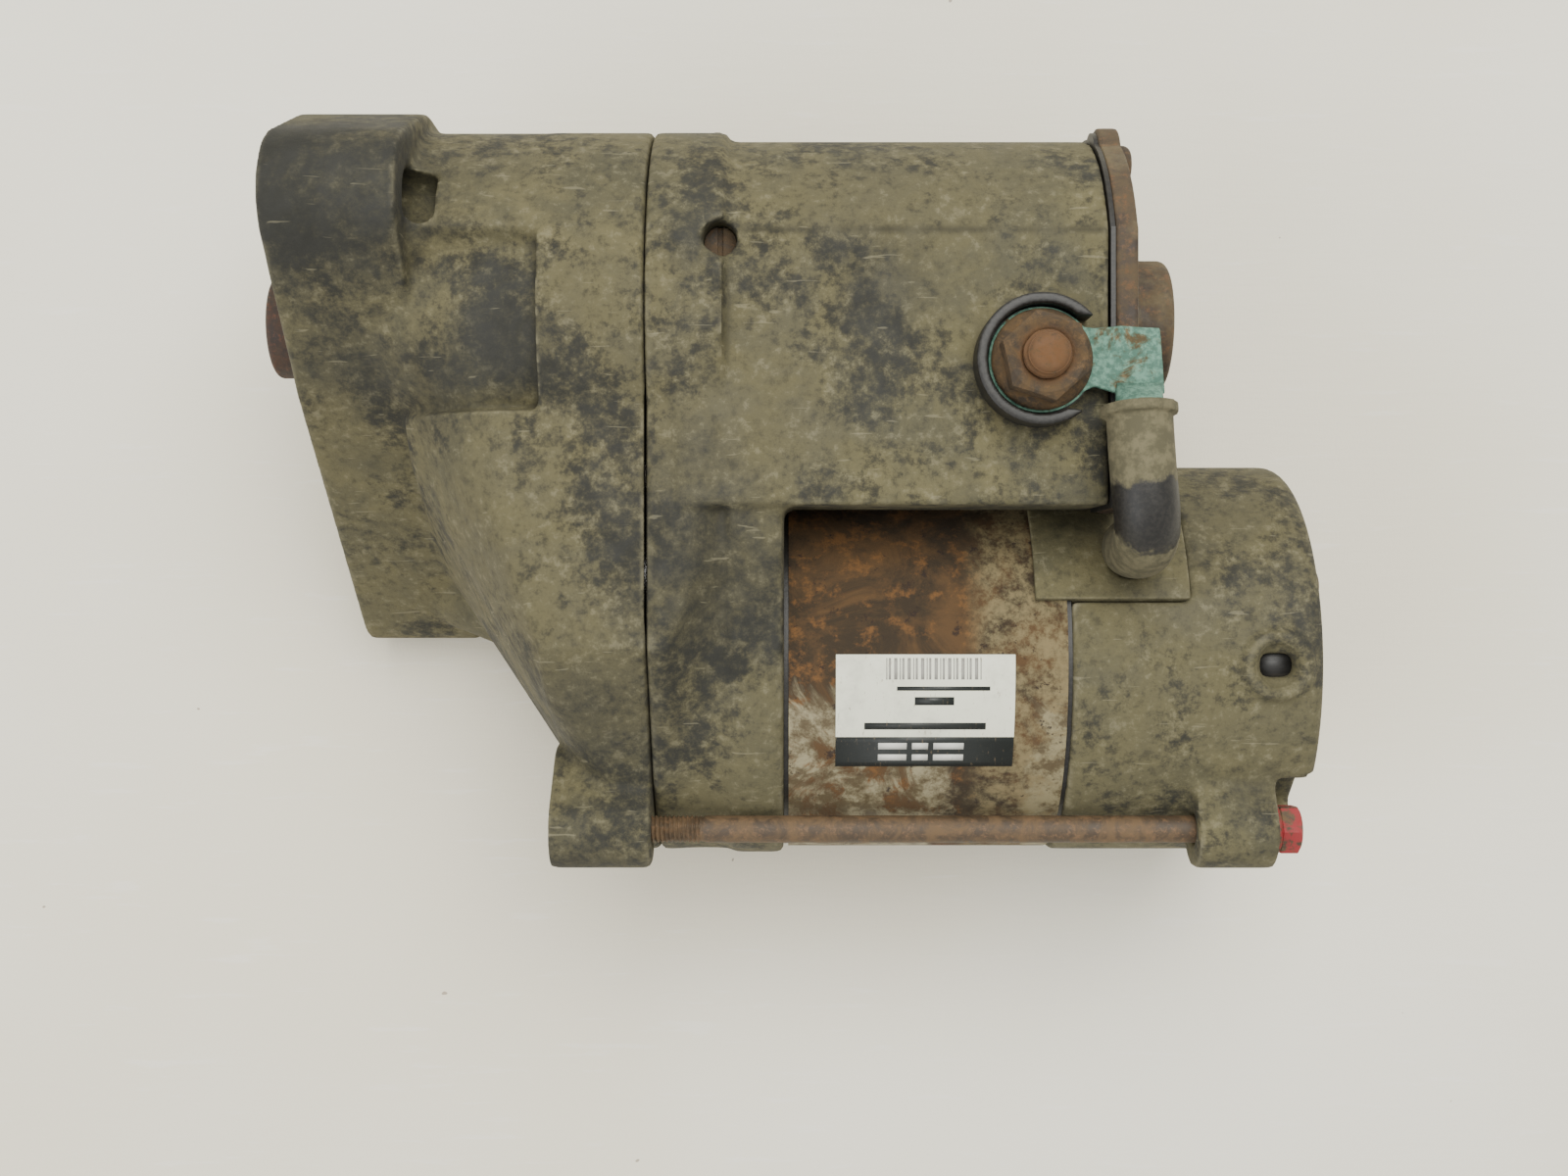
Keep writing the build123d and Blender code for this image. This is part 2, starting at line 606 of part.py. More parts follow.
def brush_holder():
    """A plate with four guide boxes, screwed to the end cover."""
    shape = ring(16.0, 31.0, 163.2, 165.0, MOTOR)
    for angle in BRUSH_ANGLES:
        guide = Rectangle(13.0, 9.0) - Rectangle(13.0, 6.6)
        shape += prism(on_brush(angle, Pos(24.5, 0) * guide), BRUSH_X[0] - 1, 163.4)
        shape += prism(on_brush(angle, Pos(31.0, 0) * Rectangle(1.2, 9.0)), BRUSH_X[0], 163.4)
    for angle in HOLDER_SCREW_ANGLES:
        shape -= cylinder(2.01, 160, 170, around(MOTOR, 25.0, angle))
    return shape


def brush_springs():
    """A coil spring behind each brush, pressing it on the commutator."""
    springs = []
    x = (BRUSH_X[0] + BRUSH_X[1]) / 2
    for angle in BRUSH_ANGLES:
        spring = helix_spring(2.2, 0.4, 26.1, 30.3, 3)
        stand = Pos(0, *MOTOR) * Rot(angle, 0, 0) * Pos(x, 0, 0) * Rot(0, 0, 90)
        springs.append(stand * spring)
    return group(*springs)


def bearing_outer(r_in, r_out, x0, x1, centre, balls):
    """The fixed half of a ball bearing: outer ring, and balls in their cage's place."""
    step = (r_out - r_in) / 4
    outer = ring(r_out - step, r_out, x0, x1, centre)
    pieces = [outer]
    for i in range(balls):
        y, z = around(centre, (r_in + r_out) / 2, 360 / balls * i)
        pieces.append(Pos((x0 + x1) / 2, y, z) * Sphere(step - RUN))
    return pieces


def bearing_inner(r_in, r_out, x0, x1, centre):
    return ring(r_in, r_in + (r_out - r_in) / 4, x0, x1, centre)


CLUTCH_BEARINGS = ((10.0, 18.5, 25.0, 34.0), (11.0, 18.5, 62.2, 71.0))
ARMATURE_BEARINGS = ((SHAFT_R, 14.0, 64.5, 72.5), (4.5, 12.0, 166.0, 173.0))


def bearing_rings(bearings, centre, inner):
    pieces = []
    for r_in, r_out, x0, x1 in bearings:
        if inner:
            pieces.append(bearing_inner(r_in, r_out, x0, x1, centre))
        else:
            pieces += bearing_outer(r_in, r_out, x0, x1, centre, 8)
    return group(*pieces)


# ---------------------------------------------------------------- gear train and clutch

IDLER_ROLLER_R, IDLER_PIN_R = 2.4, 6.5


def idler_gear():
    bore = IDLER_PIN_R + 2 * IDLER_ROLLER_R + 2 * RUN
    return gear("idler", IDLER_X, IDLER, PHASE["idler"]) - cylinder(bore, 40, 70, IDLER)


def idler_rollers():
    orbit = IDLER_PIN_R + IDLER_ROLLER_R + RUN
    return group(*[
        cylinder(IDLER_ROLLER_R, IDLER_X[0] + 2, IDLER_X[1] - 2, around(IDLER, orbit, 72 * i))
        for i in range(5)
    ])


def idler_pin():
    return cylinder(IDLER_PIN_R, 37.8, 67.4, IDLER)


HUB_RACE_R = 12.0
CLUTCH_ROLLER_R = 3.0
SPRING_BORE_R = 9.2
SPRING_SEAT_X, SPRING_COLLAR_X = 46.4, 67.4


def clutch_gear():
    """The clutch's outer race with the gear on its rim and a pocket for each roller."""
    shape = gear("clutch", CLUTCH_GEAR_X, DRIVE, PHASE["clutch"])
    shape += cylinder(20.2, 42.4, CLUTCH_GEAR_X[0])
    shape -= cylinder(HUB_RACE_R + GAP, 40, 62)
    orbit = HUB_RACE_R + CLUTCH_ROLLER_R + RUN
    for i in range(5):
        wide = [(*around(DRIVE, orbit, 72 * i), CLUTCH_ROLLER_R + RUN),
                (*around(DRIVE, orbit - 1.2, 72 * i + 20), CLUTCH_ROLLER_R)]
        shape -= prism(hull(wide), 48.0, 62)
    return shape


def clutch_rollers():
    orbit = HUB_RACE_R + CLUTCH_ROLLER_R + RUN
    return group(*[
        cylinder(CLUTCH_ROLLER_R - 0.02, 48.3, 59.6, around(DRIVE, orbit, 72 * i)) for i in range(5)
    ])


def clutch_cover():
    return ring(HUB_RACE_R + GAP, 25.0, CLUTCH_GEAR_X[1], 61.4)


def spline_face(root_r, tip_r, width):
    """Six straight splines round a core."""
    face = Circle(root_r)
    for i in range(6):
        middle = Pos(*around(DRIVE, (root_r + tip_r) / 2, 60 * i))
        face += middle * Rectangle(tip_r - root_r + 1, width, rotation=60 * i)
    return face & Circle(tip_r)


PINION_SHAFT_R = 7.2
SPLINE_R, SPLINE_W = 8.4, 3.0


def clutch_hub():
    """The clutch's inner race: a tube with seats for both bearings and a splined bore."""
    shape = cylinder(10.0, 25.0, 44.0) + cylinder(HUB_RACE_R, 44.0, 61.8)
    shape += cylinder(11.0, 61.8, 71.0)
    shape -= cylinder(PINION_SHAFT_R + RUN, 20, 60)
    shape -= prism(spline_face(PINION_SHAFT_R + RUN, SPLINE_R + 0.1, SPLINE_W + 0.2), 27.0, 47.0)
    shape -= cylinder(SPRING_BORE_R, SPRING_SEAT_X, 72.0)
    return shape


def pinion_shaft():
    """The sliding shaft: splined in the middle, with a spring seat and a ball socket behind."""
    shape = cylinder(PINION_SHAFT_R, 14.0, 46.2) + cylinder(6.2, -6.2, 14.0)
    shape += prism(spline_face(PINION_SHAFT_R - 0.5, SPLINE_R, SPLINE_W), 38.4, 46.2)
    shape += cylinder(5.8, 46.0, 70.0) + cylinder(9.0, SPRING_COLLAR_X, SPRING_COLLAR_X + 1.4)
    shape -= cylinder(3.6, 66.6, 71.0)
    return shape


def pinion():
    shape = gear("pinion", (1.0, 15.6), DRIVE, 0.3, PINION_MODULE)
    shape &= cone(13.4, 20.4, 1.0, 8.0) + cylinder(20.4, 8.0, 15.6)
    shape += cylinder(9.2, 14.0, 19.5)
    shape -= cylinder(6.2, -8, 14.0) + cylinder(PINION_SHAFT_R, 14.0, 20.0)
    return shape


def pinion_stop_collar():
    shape = cylinder(9.5, -7.1, 1.0)
    rim = shape.edges().filter_by(GeomType.CIRCLE).sort_by(Axis.X)[0]
    shape = fillet(rim, 0.9)
    return shape - cylinder(6.2, -6.2, 2.0) - cylinder(4.4, -8, -6.0)


def pinion_spring():
    return helix_spring(7.5, 0.6, SPRING_SEAT_X + 0.1, SPRING_COLLAR_X - 0.1, 6)


def steel_ball():
    return Pos(70.2, 0, 0) * Sphere(3.5)


# ---------------------------------------------------------------- solenoid

PLUNGER_R, PLUNGER_X = 10.5, (98.0, 126.0)
FRONT_CORE_X = 86.0
CONTACT_FRONT_X = 134.0
FIXED_CONTACT_BACK_X = CONTACT_FRONT_X - TRAVEL - 0.1


def front_core():
    """The fixed iron core that the plunger is pulled against."""
    shape = cylinder(COIL_CAVITY_R - RUN, SOLENOID_X0, FRONT_CORE_X) + cylinder(10.6, 86, 86.8)
    return shape - cylinder(3.3, 79, 90) - cylinder(8.0, 84.0, 90.0)


def coil_bobbin():
    shape = ring(PLUNGER_R + 0.4, 12.2, 86.8, 119.0)
    return shape + ring(12.0, 21.4, 86.8, 88.2) + ring(12.0, 21.4, 117.6, 119.0)


def hold_in_coil():
    return ring(12.2, 16.2, 88.2, 117.6)


def pull_in_coil():
    return ring(16.2, 20.8, 88.2, 117.6)


def coil_case():
    shape = ring(21.5, COIL_CAVITY_R - RUN, FRONT_CORE_X, 120.8)
    return shape + ring(PLUNGER_R + 0.4, 22.0, 119.0, 120.8)


def plunger():
    """The iron plunger with the rod that pushes the pinion and carries the moving contact."""
    shape = cylinder(PLUNGER_R, *PLUNGER_X) - cylinder(8.0, 97.0, 108.0)
    shape += cylinder(3.0, 73.9, 130.0) + cylinder(2.6, 130.0, 151.0)
    shape += cylinder(4.6, 147.4, 148.6)
    return shape


def plunger_return_spring():
    return helix_spring(5.9, 0.7, 84.1, 107.9, 7)


def moving_contact():
    """A copper washer on an insulating bush."""
    disc = ring(5.0, 16.4, CONTACT_FRONT_X, CONTACT_FRONT_X + 2.4)
    bush = ring(2.6, 5.0, CONTACT_FRONT_X - 2, CONTACT_FRONT_X + 4.4)
    return group(disc, bush)


def contact_spring():
    return helix_spring(4.0, 0.5, 138.6, 147.2, 4)


def fixed_contacts():
    """An angle of copper from each terminal stud's head to the face that the disc meets."""
    x0 = FIXED_CONTACT_BACK_X - 1.8
    face = box(x0, FIXED_CONTACT_BACK_X, -15.5, -4.0, 11.5, 18.6)
    tab = box(x0, 134.0, -15.5, -4.0, 17.0, 18.6)
    return group(face + tab, battery_side(face + tab))


def battery_side(shape):
    """The battery terminal's parts are the motor terminal's, turned half a turn about the drive axis."""
    return Rot(180, 0, 0) * shape


def terminal_stud(seat_z, z_end):
    """A stud with a square head on its fixed contact. Its thread is drawn at core size inside the nut."""
    head = box(TERMINAL_X - 6, TERMINAL_X + 6, TERMINAL_Y - 5.5, TERMINAL_Y + 5.5, 18.6, 22.0)
    stud = head + post(STUD_R, 21.0, seat_z, TERMINAL_X, TERMINAL_Y)
    stud += post(STUD_CORE_R, seat_z, seat_z + NUT_H, TERMINAL_X, TERMINAL_Y)
    stud += post(STUD_R, seat_z + NUT_H, z_end, TERMINAL_X, TERMINAL_Y)
    tip = stud.edges().filter_by(GeomType.CIRCLE).sort_by(Axis.Z)[-1]
    return chamfer(tip, 0.7)


def terminal_insulator():
    """A collar that passes through the wall, with a flange outside it."""
    shape = post(5.2, 27.4, PAD_Z, TERMINAL_X, TERMINAL_Y)
    shape += post(9.0, PAD_Z, PAD_Z + 3.0, TERMINAL_X, TERMINAL_Y)
    return shape - post(STUD_R, 20, 60, TERMINAL_X, TERMINAL_Y)


LUG_Z = PAD_Z + 3.0
LUG_T = 1.5
MOTOR_STUD_Z = 45.6
BATTERY_STUD_Z = 52.0


def flange_nut(z0):
    """A hexagon nut with a round flange, threaded on a stud that points up."""
    height = NUT_H
    shape = post(8.4, z0, z0 + 1.4, TERMINAL_X, TERMINAL_Y)
    outline = RegularPolygon(6.5, 6, major_radius=False, rotation=14)
    body = extrude(Plane.XY.offset(z0 + 1.2) * Pos(TERMINAL_X, TERMINAL_Y) * outline, amount=height - 1.2)
    crown = loft([
        (Plane.XY.offset(z0) * Pos(TERMINAL_X, TERMINAL_Y) * Circle(9.6)).face(),
        (Plane.XY.offset(z0 + height + 0.01) * Pos(TERMINAL_X, TERMINAL_Y) * Circle(6.6)).face(),
    ])
    return shape + (body & crown) - post(STUD_CORE_R, 0, 80, TERMINAL_X, TERMINAL_Y)


def motor_terminal_nut():
    return flange_nut(LUG_Z + LUG_T)


def battery_terminal_nut():
    return battery_side(flange_nut(LUG_Z))


def switch_terminal_blade():
    """The spade that energises the coils."""
    return box(*SWITCH_BLADE_X, SWITCH_Y - 0.4, SWITCH_Y + 0.4, -37.4, -22.0)


def switch_terminal_shroud():
    """The plastic socket round the spade, standing on the housing's far side."""
    shape = box(122.0, 134.0, SWITCH_Y - 5, SWITCH_Y + 5, -38.0, -20.0)
    shape -= box(123.6, 132.4, SWITCH_Y - 3.4, SWITCH_Y + 3.4, -39.0, -30.5)
    shape -= cylinder(BODY_R, 100, 150)
    shape += box(*SWITCH_HOLE_X, SWITCH_Y - 1.4, SWITCH_Y + 1.4, -30.6, -26.4)
    return shape - box(*SWITCH_BLADE_X, SWITCH_Y - 0.4, SWITCH_Y + 0.4, -40, -20)


# ---------------------------------------------------------------- motor lead

SLEEVE_R, LEAD_R = 5.4, 3.6
LEAD_ROUTE = [(144.2, -18.4, 39.0), (144.6, -28.6, 40.0), (146.0, -38.4, 38.0), (147.0, -41.4, 28.5),
              (147.2, -41.2, 18.0)]


def rounded_route(points, bend):
    """Straight runs joined by tangent arcs, as large as each pair of runs allows."""
    radii = []
    for a, b, c in zip(points, points[1:], points[2:]):
        first, second = Vector(*b) - Vector(*a), Vector(*c) - Vector(*b)
        turn = radians(first.get_angle(second))
        radii.append(bend * min(first.length, second.length) / tan(turn / 2))
    return FilletPolyline(*points, radius=radii), radii


def sweep_round(radius, path):
    section = Plane(origin=path @ 0, z_dir=path % 0) * Circle(radius)
    return sweep(section, path=path)


def lead_parts():
    route, radii = rounded_route(LEAD_ROUTE, 0.45)
    print("lead bend radii", [round(r, 1) for r in radii], "length", round(route.length, 1))
    sleeve = sweep_round(SLEEVE_R, route) - sweep_round(LEAD_R + 0.4, route)
    mouth = Plane(origin=route @ 0, z_dir=route % 0)
    collar = extrude(mouth * (Circle(SLEEVE_R + 0.9) - Circle(LEAD_R + 0.4)), amount=1.8)
    lead = sweep_round(LEAD_R, route)
    return sleeve + collar, lead


def lead_grommet(sleeve_solid):
    """A rubber plug in the end cover's slot, with a lip over the yoke."""
    low, high = GROMMET_ANGLES
    shape = sector(33.0, GROMMET_R, COVER_X0, GROMMET_X[1], low, high, MOTOR)
    shape += sector(YOKE_R, GROMMET_R, GROMMET_X[0], COVER_X0, low, high, MOTOR)
    return shape - sleeve_solid


def lead_lug():
    """The copper lug: an eye on the stud, and an arm that turns down into the sleeve's mouth."""
    eye = post(8.8, LUG_Z, LUG_Z + LUG_T, TERMINAL_X, TERMINAL_Y)
    points = [(TERMINAL_X + 2, TERMINAL_Y + 6.0), (137.5, -5.4), (142.0, -5.0), (148.4, -5.4),
              (149.2, -16.2), (141.4, -16.2), (137.6, -15.0), (TERMINAL_X + 2, TERMINAL_Y - 7.5)]
    arm = make_face(Polyline(*points, close=True))
    shape = eye + extrude(Plane.XY.offset(LUG_Z) * arm, amount=LUG_T)
    return shape - post(STUD_R, 0, 80, TERMINAL_X, TERMINAL_Y)


def terminal_boot():
    """The open rubber cup round the motor terminal, cut away where the lug leaves it."""
    wall = post(10.9, PAD_Z, 38.0, TERMINAL_X, TERMINAL_Y) - post(9.1, 20, 60, TERMINAL_X, TERMINAL_Y)
    way_out = Pos(TERMINAL_X, TERMINAL_Y, 45) * Rot(0, 0, -6) * Pos(12, 0, 0) * Box(24, 15.4, 40)
    return wall - way_out


def rating_label():
    return sector(YOKE_R, YOKE_R + 0.2, 95.3, 126.4, 87.0, 119.6, MOTOR)


# ---------------------------------------------------------------- all nodes

SLEEVE, LEAD = lead_parts()

NODES = {
    "drive_housing": drive_housing,
    "solenoid_housing": solenoid_housing,
    "yoke": yoke,
    "end_cover": end_cover,
    "solenoid_cover": solenoid_cover,
    "solenoid_cover_gasket": solenoid_cover_gasket,
    "solenoid_cover_screws": solenoid_cover_screws,
    "through_bolts": through_bolts,
    "housing_screws": housing_screws,
    "brush_holder_screws": brush_holder_screws,
    "plug_screw": plug_screw,
    "yoke_seals": yoke_seals,
    "magnets": magnets,
    "armature_shaft": armature_shaft,
    "armature_core": armature_core,
    "armature_windings": armature_windings,
    "commutator": commutator,
    "brushes": brushes,
    "brush_holder": brush_holder,
    "brush_springs": brush_springs,
    "idler_gear": idler_gear,
    "idler_rollers": idler_rollers,
    "idler_pin": idler_pin,
    "clutch_gear": clutch_gear,
    "clutch_rollers": clutch_rollers,
    "clutch_cover": clutch_cover,
    "clutch_hub": clutch_hub,
    "pinion_shaft": pinion_shaft,
    "pinion": pinion,
    "pinion_stop_collar": pinion_stop_collar,
    "pinion_spring": pinion_spring,
    "steel_ball": steel_ball,
    "front_core": front_core,
    "coil_bobbin": coil_bobbin,
    "hold_in_coil": hold_in_coil,
    "pull_in_coil": pull_in_coil,
    "coil_case": coil_case,
    "plunger": plunger,
    "plunger_return_spring": plunger_return_spring,
    "moving_contact": moving_contact,
    "contact_spring": contact_spring,
    "fixed_contacts": fixed_contacts,
    "motor_terminal_stud": lambda: terminal_stud(LUG_Z + LUG_T, MOTOR_STUD_Z),
    "motor_terminal_insulator": terminal_insulator,
    "motor_terminal_nut": motor_terminal_nut,
    "battery_terminal_stud": lambda: battery_side(terminal_stud(LUG_Z, BATTERY_STUD_Z)),
    "battery_terminal_insulator": lambda: battery_side(terminal_insulator()),
    "battery_terminal_nut": battery_terminal_nut,
    "switch_terminal_blade": switch_terminal_blade,
    "switch_terminal_shroud": switch_terminal_shroud,
    "terminal_boot": terminal_boot,
    "lead_sleeve": lambda: SLEEVE,
    "motor_lead": lambda: LEAD,
    "lead_grommet": lambda: lead_grommet(sweep_round(SLEEVE_R, rounded_route(LEAD_ROUTE, 0.45)[0])),
    "lead_lug": lead_lug,
    "rating_label": rating_label,
    "clutch_bearing_outers": lambda: bearing_rings(CLUTCH_BEARINGS, DRIVE, False),
    "clutch_bearing_inners": lambda: bearing_rings(CLUTCH_BEARINGS, DRIVE, True),
    "armature_bearing_outers": lambda: bearing_rings(ARMATURE_BEARINGS, MOTOR, False),
    "armature_bearing_inners": lambda: bearing_rings(ARMATURE_BEARINGS, MOTOR, True),
}

os.makedirs("parts", exist_ok=True)
for name, make in NODES.items():
    export_step(make(), f"parts/{name}.step")
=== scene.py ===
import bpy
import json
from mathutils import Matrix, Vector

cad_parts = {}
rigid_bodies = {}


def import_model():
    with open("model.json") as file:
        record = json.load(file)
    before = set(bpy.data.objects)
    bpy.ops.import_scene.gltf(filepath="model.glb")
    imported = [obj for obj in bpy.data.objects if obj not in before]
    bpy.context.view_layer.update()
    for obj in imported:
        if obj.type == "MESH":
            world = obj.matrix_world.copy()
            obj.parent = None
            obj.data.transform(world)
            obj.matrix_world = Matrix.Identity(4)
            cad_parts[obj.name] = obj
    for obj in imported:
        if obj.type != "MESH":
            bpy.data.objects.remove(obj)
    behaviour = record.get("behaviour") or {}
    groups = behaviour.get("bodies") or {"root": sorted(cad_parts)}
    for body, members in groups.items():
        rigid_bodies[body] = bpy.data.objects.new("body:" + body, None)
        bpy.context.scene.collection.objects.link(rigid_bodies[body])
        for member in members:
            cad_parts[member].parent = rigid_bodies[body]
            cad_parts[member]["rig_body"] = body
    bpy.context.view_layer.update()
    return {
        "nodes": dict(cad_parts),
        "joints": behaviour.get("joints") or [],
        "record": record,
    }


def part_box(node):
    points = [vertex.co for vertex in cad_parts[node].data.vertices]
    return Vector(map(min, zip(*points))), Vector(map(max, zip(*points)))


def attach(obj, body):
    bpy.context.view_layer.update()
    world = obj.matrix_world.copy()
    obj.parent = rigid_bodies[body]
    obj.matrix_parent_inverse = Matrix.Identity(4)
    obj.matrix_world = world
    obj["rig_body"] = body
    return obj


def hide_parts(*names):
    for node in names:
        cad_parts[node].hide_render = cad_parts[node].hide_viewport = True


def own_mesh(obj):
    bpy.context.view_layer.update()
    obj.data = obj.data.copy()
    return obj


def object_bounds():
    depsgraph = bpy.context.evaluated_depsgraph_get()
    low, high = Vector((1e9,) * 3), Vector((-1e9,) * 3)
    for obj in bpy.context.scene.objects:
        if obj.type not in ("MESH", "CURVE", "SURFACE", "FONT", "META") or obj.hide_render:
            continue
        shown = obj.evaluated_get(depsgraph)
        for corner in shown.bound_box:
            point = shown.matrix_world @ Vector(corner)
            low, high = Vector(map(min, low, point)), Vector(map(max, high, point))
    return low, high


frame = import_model()

import bmesh
import bpy
import json
from math import atan2, cos, degrees, floor, pi, radians, sin, tan
from mathutils import Matrix, Vector

# A worn starter motor. Lengths in the pieces below are in millimetres and the meshes in metres.
MM = 0.001
NODES = frame["nodes"]
JOINTS = {joint["name"]: joint for joint in frame["joints"]}
SLOT_OF = {part["node"]: part["material_slot"] for part in frame["record"]["subparts"]}

# The idler's and the armature's axes, as (y, z). The pinion's axis is at (0, 0).
IDLER = tuple(1000 * v for v in JOINTS["idler_spin"]["pos_m"][1:])
MOTOR_Y, MOTOR_Z = -61.7, -15.0
YOKE_R = 36.0

# Through bolts: their circle round the armature's axis, and their angles on it in degrees
BOLT_CIRCLE_R = 40.0
BOLT_TURNS = (137.7, 317.7)


def box_mm(node):
    """A CAD node's two corners in millimetres."""
    low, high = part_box(node)
    return low / MM, high / MM


# ---------------------------------------------------------------- shader helpers

def rgb(red, green, blue):
    """An 8-bit screen colour as the linear colour that a shader takes."""
    linear = []
    for value in (red, green, blue):
        v = value / 255
        linear.append(v / 12.92 if v <= 0.04045 else ((v + 0.055) / 1.055) ** 2.4)
    return (*linear, 1.0)


class Shader:
    """A node material in object coordinates, which are the model's own, in metres."""

    def __init__(self, name, roughness=0.6, metallic=0.0):
        self.material = bpy.data.materials.new(name)
        self.material.use_nodes = True
        self.tree = self.material.node_tree
        self.surface = self.tree.nodes["Principled BSDF"]
        self.surface.inputs["Roughness"].default_value = roughness
        self.surface.inputs["Metallic"].default_value = metallic
        self.coords = self.tree.nodes.new("ShaderNodeTexCoord").outputs["Object"]

    def node(self, kind, inputs=(), **settings):
        made = self.tree.nodes.new(kind)
        for name, value in settings.items():
            setattr(made, name, value)
        for key, value in dict(inputs).items():
            self.put(made.inputs[key], value)
        return made

    def put(self, socket, value):
        if isinstance(value, bpy.types.NodeSocket):
            self.tree.links.new(value, socket)
        else:
            socket.default_value = value

    def noise(self, scale, detail=4.0, rough=0.6, stretch=(1, 1, 1), shift=0.0, twist=0.0):
        moved = self.node(
            "ShaderNodeMapping",
            {"Vector": self.coords, "Location": (shift, shift, shift), "Scale": stretch},
        )
        texture = self.node(
            "ShaderNodeTexNoise",
            {"Vector": moved.outputs[0], "Scale": scale, "Detail": detail, "Roughness": rough,
             "Distortion": twist},
        )
        return texture.outputs["Fac"]

    def cells(self, scale):
        texture = self.node("ShaderNodeTexVoronoi", {"Vector": self.coords, "Scale": scale})
        return texture.outputs["Distance"]

    def step(self, value, low, high, out=(0.0, 1.0)):
        """A smooth step from out[0] at low to out[1] at high."""
        made = self.node(
            "ShaderNodeMapRange",
            {"Value": value, "From Min": low, "From Max": high, "To Min": out[0], "To Max": out[1]},
            interpolation_type="SMOOTHSTEP",
        )
        return made.outputs[0]

    def math(self, operation, a, b=0.0):
        made = self.tree.nodes.new("ShaderNodeMath")
        made.operation = operation
        self.put(made.inputs[0], a)
        self.put(made.inputs[1], b)
        return made.outputs[0]

    def product(self, *values):
        result = values[0]
        for value in values[1:]:
            result = self.math("MULTIPLY", result, value)
        return result

    def mix(self, amount, a, b):
        made = self.tree.nodes.new("ShaderNodeMix")
        made.data_type = "RGBA"
        self.put(made.inputs["Factor"], amount)
        self.put(made.inputs["A"], a)
        self.put(made.inputs["B"], b)
        return next(o for o in made.outputs if o.type == "RGBA")

    def coordinate(self, axis):
        split = self.node("ShaderNodeSeparateXYZ", {"Vector": self.coords})
        return split.outputs[axis]

    def near(self, centre, radius, soft=0.5):
        """1 within a distance of a point given in millimetres, fading to 0 at its radius."""
        point = tuple(c * MM for c in centre)
        away = self.node("ShaderNodeVectorMath", {0: self.coords, 1: point}, operation="DISTANCE")
        return self.step(away.outputs["Value"], radius * MM, radius * MM * soft)

    def between(self, axis, low, high, soft):
        """1 where a coordinate is between two values in millimetres."""
        value = self.coordinate(axis)
        rise = self.step(value, (low - soft) * MM, (low + soft) * MM)
        fall = self.step(value, (high + soft) * MM, (high - soft) * MM)
        return self.math("MULTIPLY", rise, fall)

    def edges(self, low=0.52, high=0.58):
        """Convex edges, where a surface wears first."""
        return self.step(self.node("ShaderNodeNewGeometry").outputs["Pointiness"], low, high)

    def shaded_hollows(self, low=0.49, high=0.44):
        """Concave corners, which the materials darken as painted shade."""
        return self.step(self.node("ShaderNodeNewGeometry").outputs["Pointiness"], low, high)

    def finish(self, colour, roughness=None, bumps=()):
        self.put(self.surface.inputs["Base Color"], colour)
        if roughness is not None:
            self.put(self.surface.inputs["Roughness"], roughness)
        normal = None
        for height, depth, strength in bumps:
            inputs = {"Height": height, "Distance": depth * MM, "Strength": strength}
            if normal is not None:
                inputs["Normal"] = normal
            normal = self.node("ShaderNodeBump", inputs).outputs[0]
        if normal is not None:
            self.tree.links.new(normal, self.surface.inputs["Normal"])
        return self.material


# ---------------------------------------------------------------- materials

TAN, OLIVE, KHAKI = rgb(98, 92, 64), rgb(70, 67, 46), rgb(84, 79, 55)
PALE_CAST, DARK_CAST, STAIN_AND_SHADE = rgb(140, 134, 108), rgb(44, 42, 30), rgb(34, 34, 29)
RUST, DARK_RUST, ORANGE_RUST = rgb(78, 57, 32), rgb(46, 36, 22), rgb(108, 74, 38)
DUST = rgb(112, 102, 74)

# Dark patches on the castings: centre, radius and strength. Most are oil and road staining; two below are
# painted shade, and one only darkens a slope.
STAINS_AND_SHADE = [
    ((2.0, 24.0, 40.0), 40.0, 0.97),
    ((19.0, 16.0, 36.0), 18.0, 0.6),
    ((40.0, -8.0, 28.0), 15.0, 0.75),
    ((26.0, -14.0, 24.0), 16.0, 0.6),
    ((10.0, -8.0, 16.0), 18.0, 0.5),
    # Painted shade: these two darken the recess between the seam and the solenoid pad's edge.
    ((74.0, -46.0, 22.0), 25.0, 0.95),
    ((73.0, -28.0, 26.0), 14.0, 0.6),
    ((71.0, 10.0, 36.0), 9.0, 0.6),
    ((104.0, 4.0, 33.0), 14.0, 0.4),
    ((50.0, -97.0, 12.0), 15.0, 0.6),
    ((154.0, -40.0, 19.0), 14.0, 0.5),
    ((171.0, -84.0, 10.0), 14.0, 0.5),
    # This one darkens the low slope of the gear case towards the skirt.
    ((54.0, -66.0, 16.0), 24.0, 0.65),
]


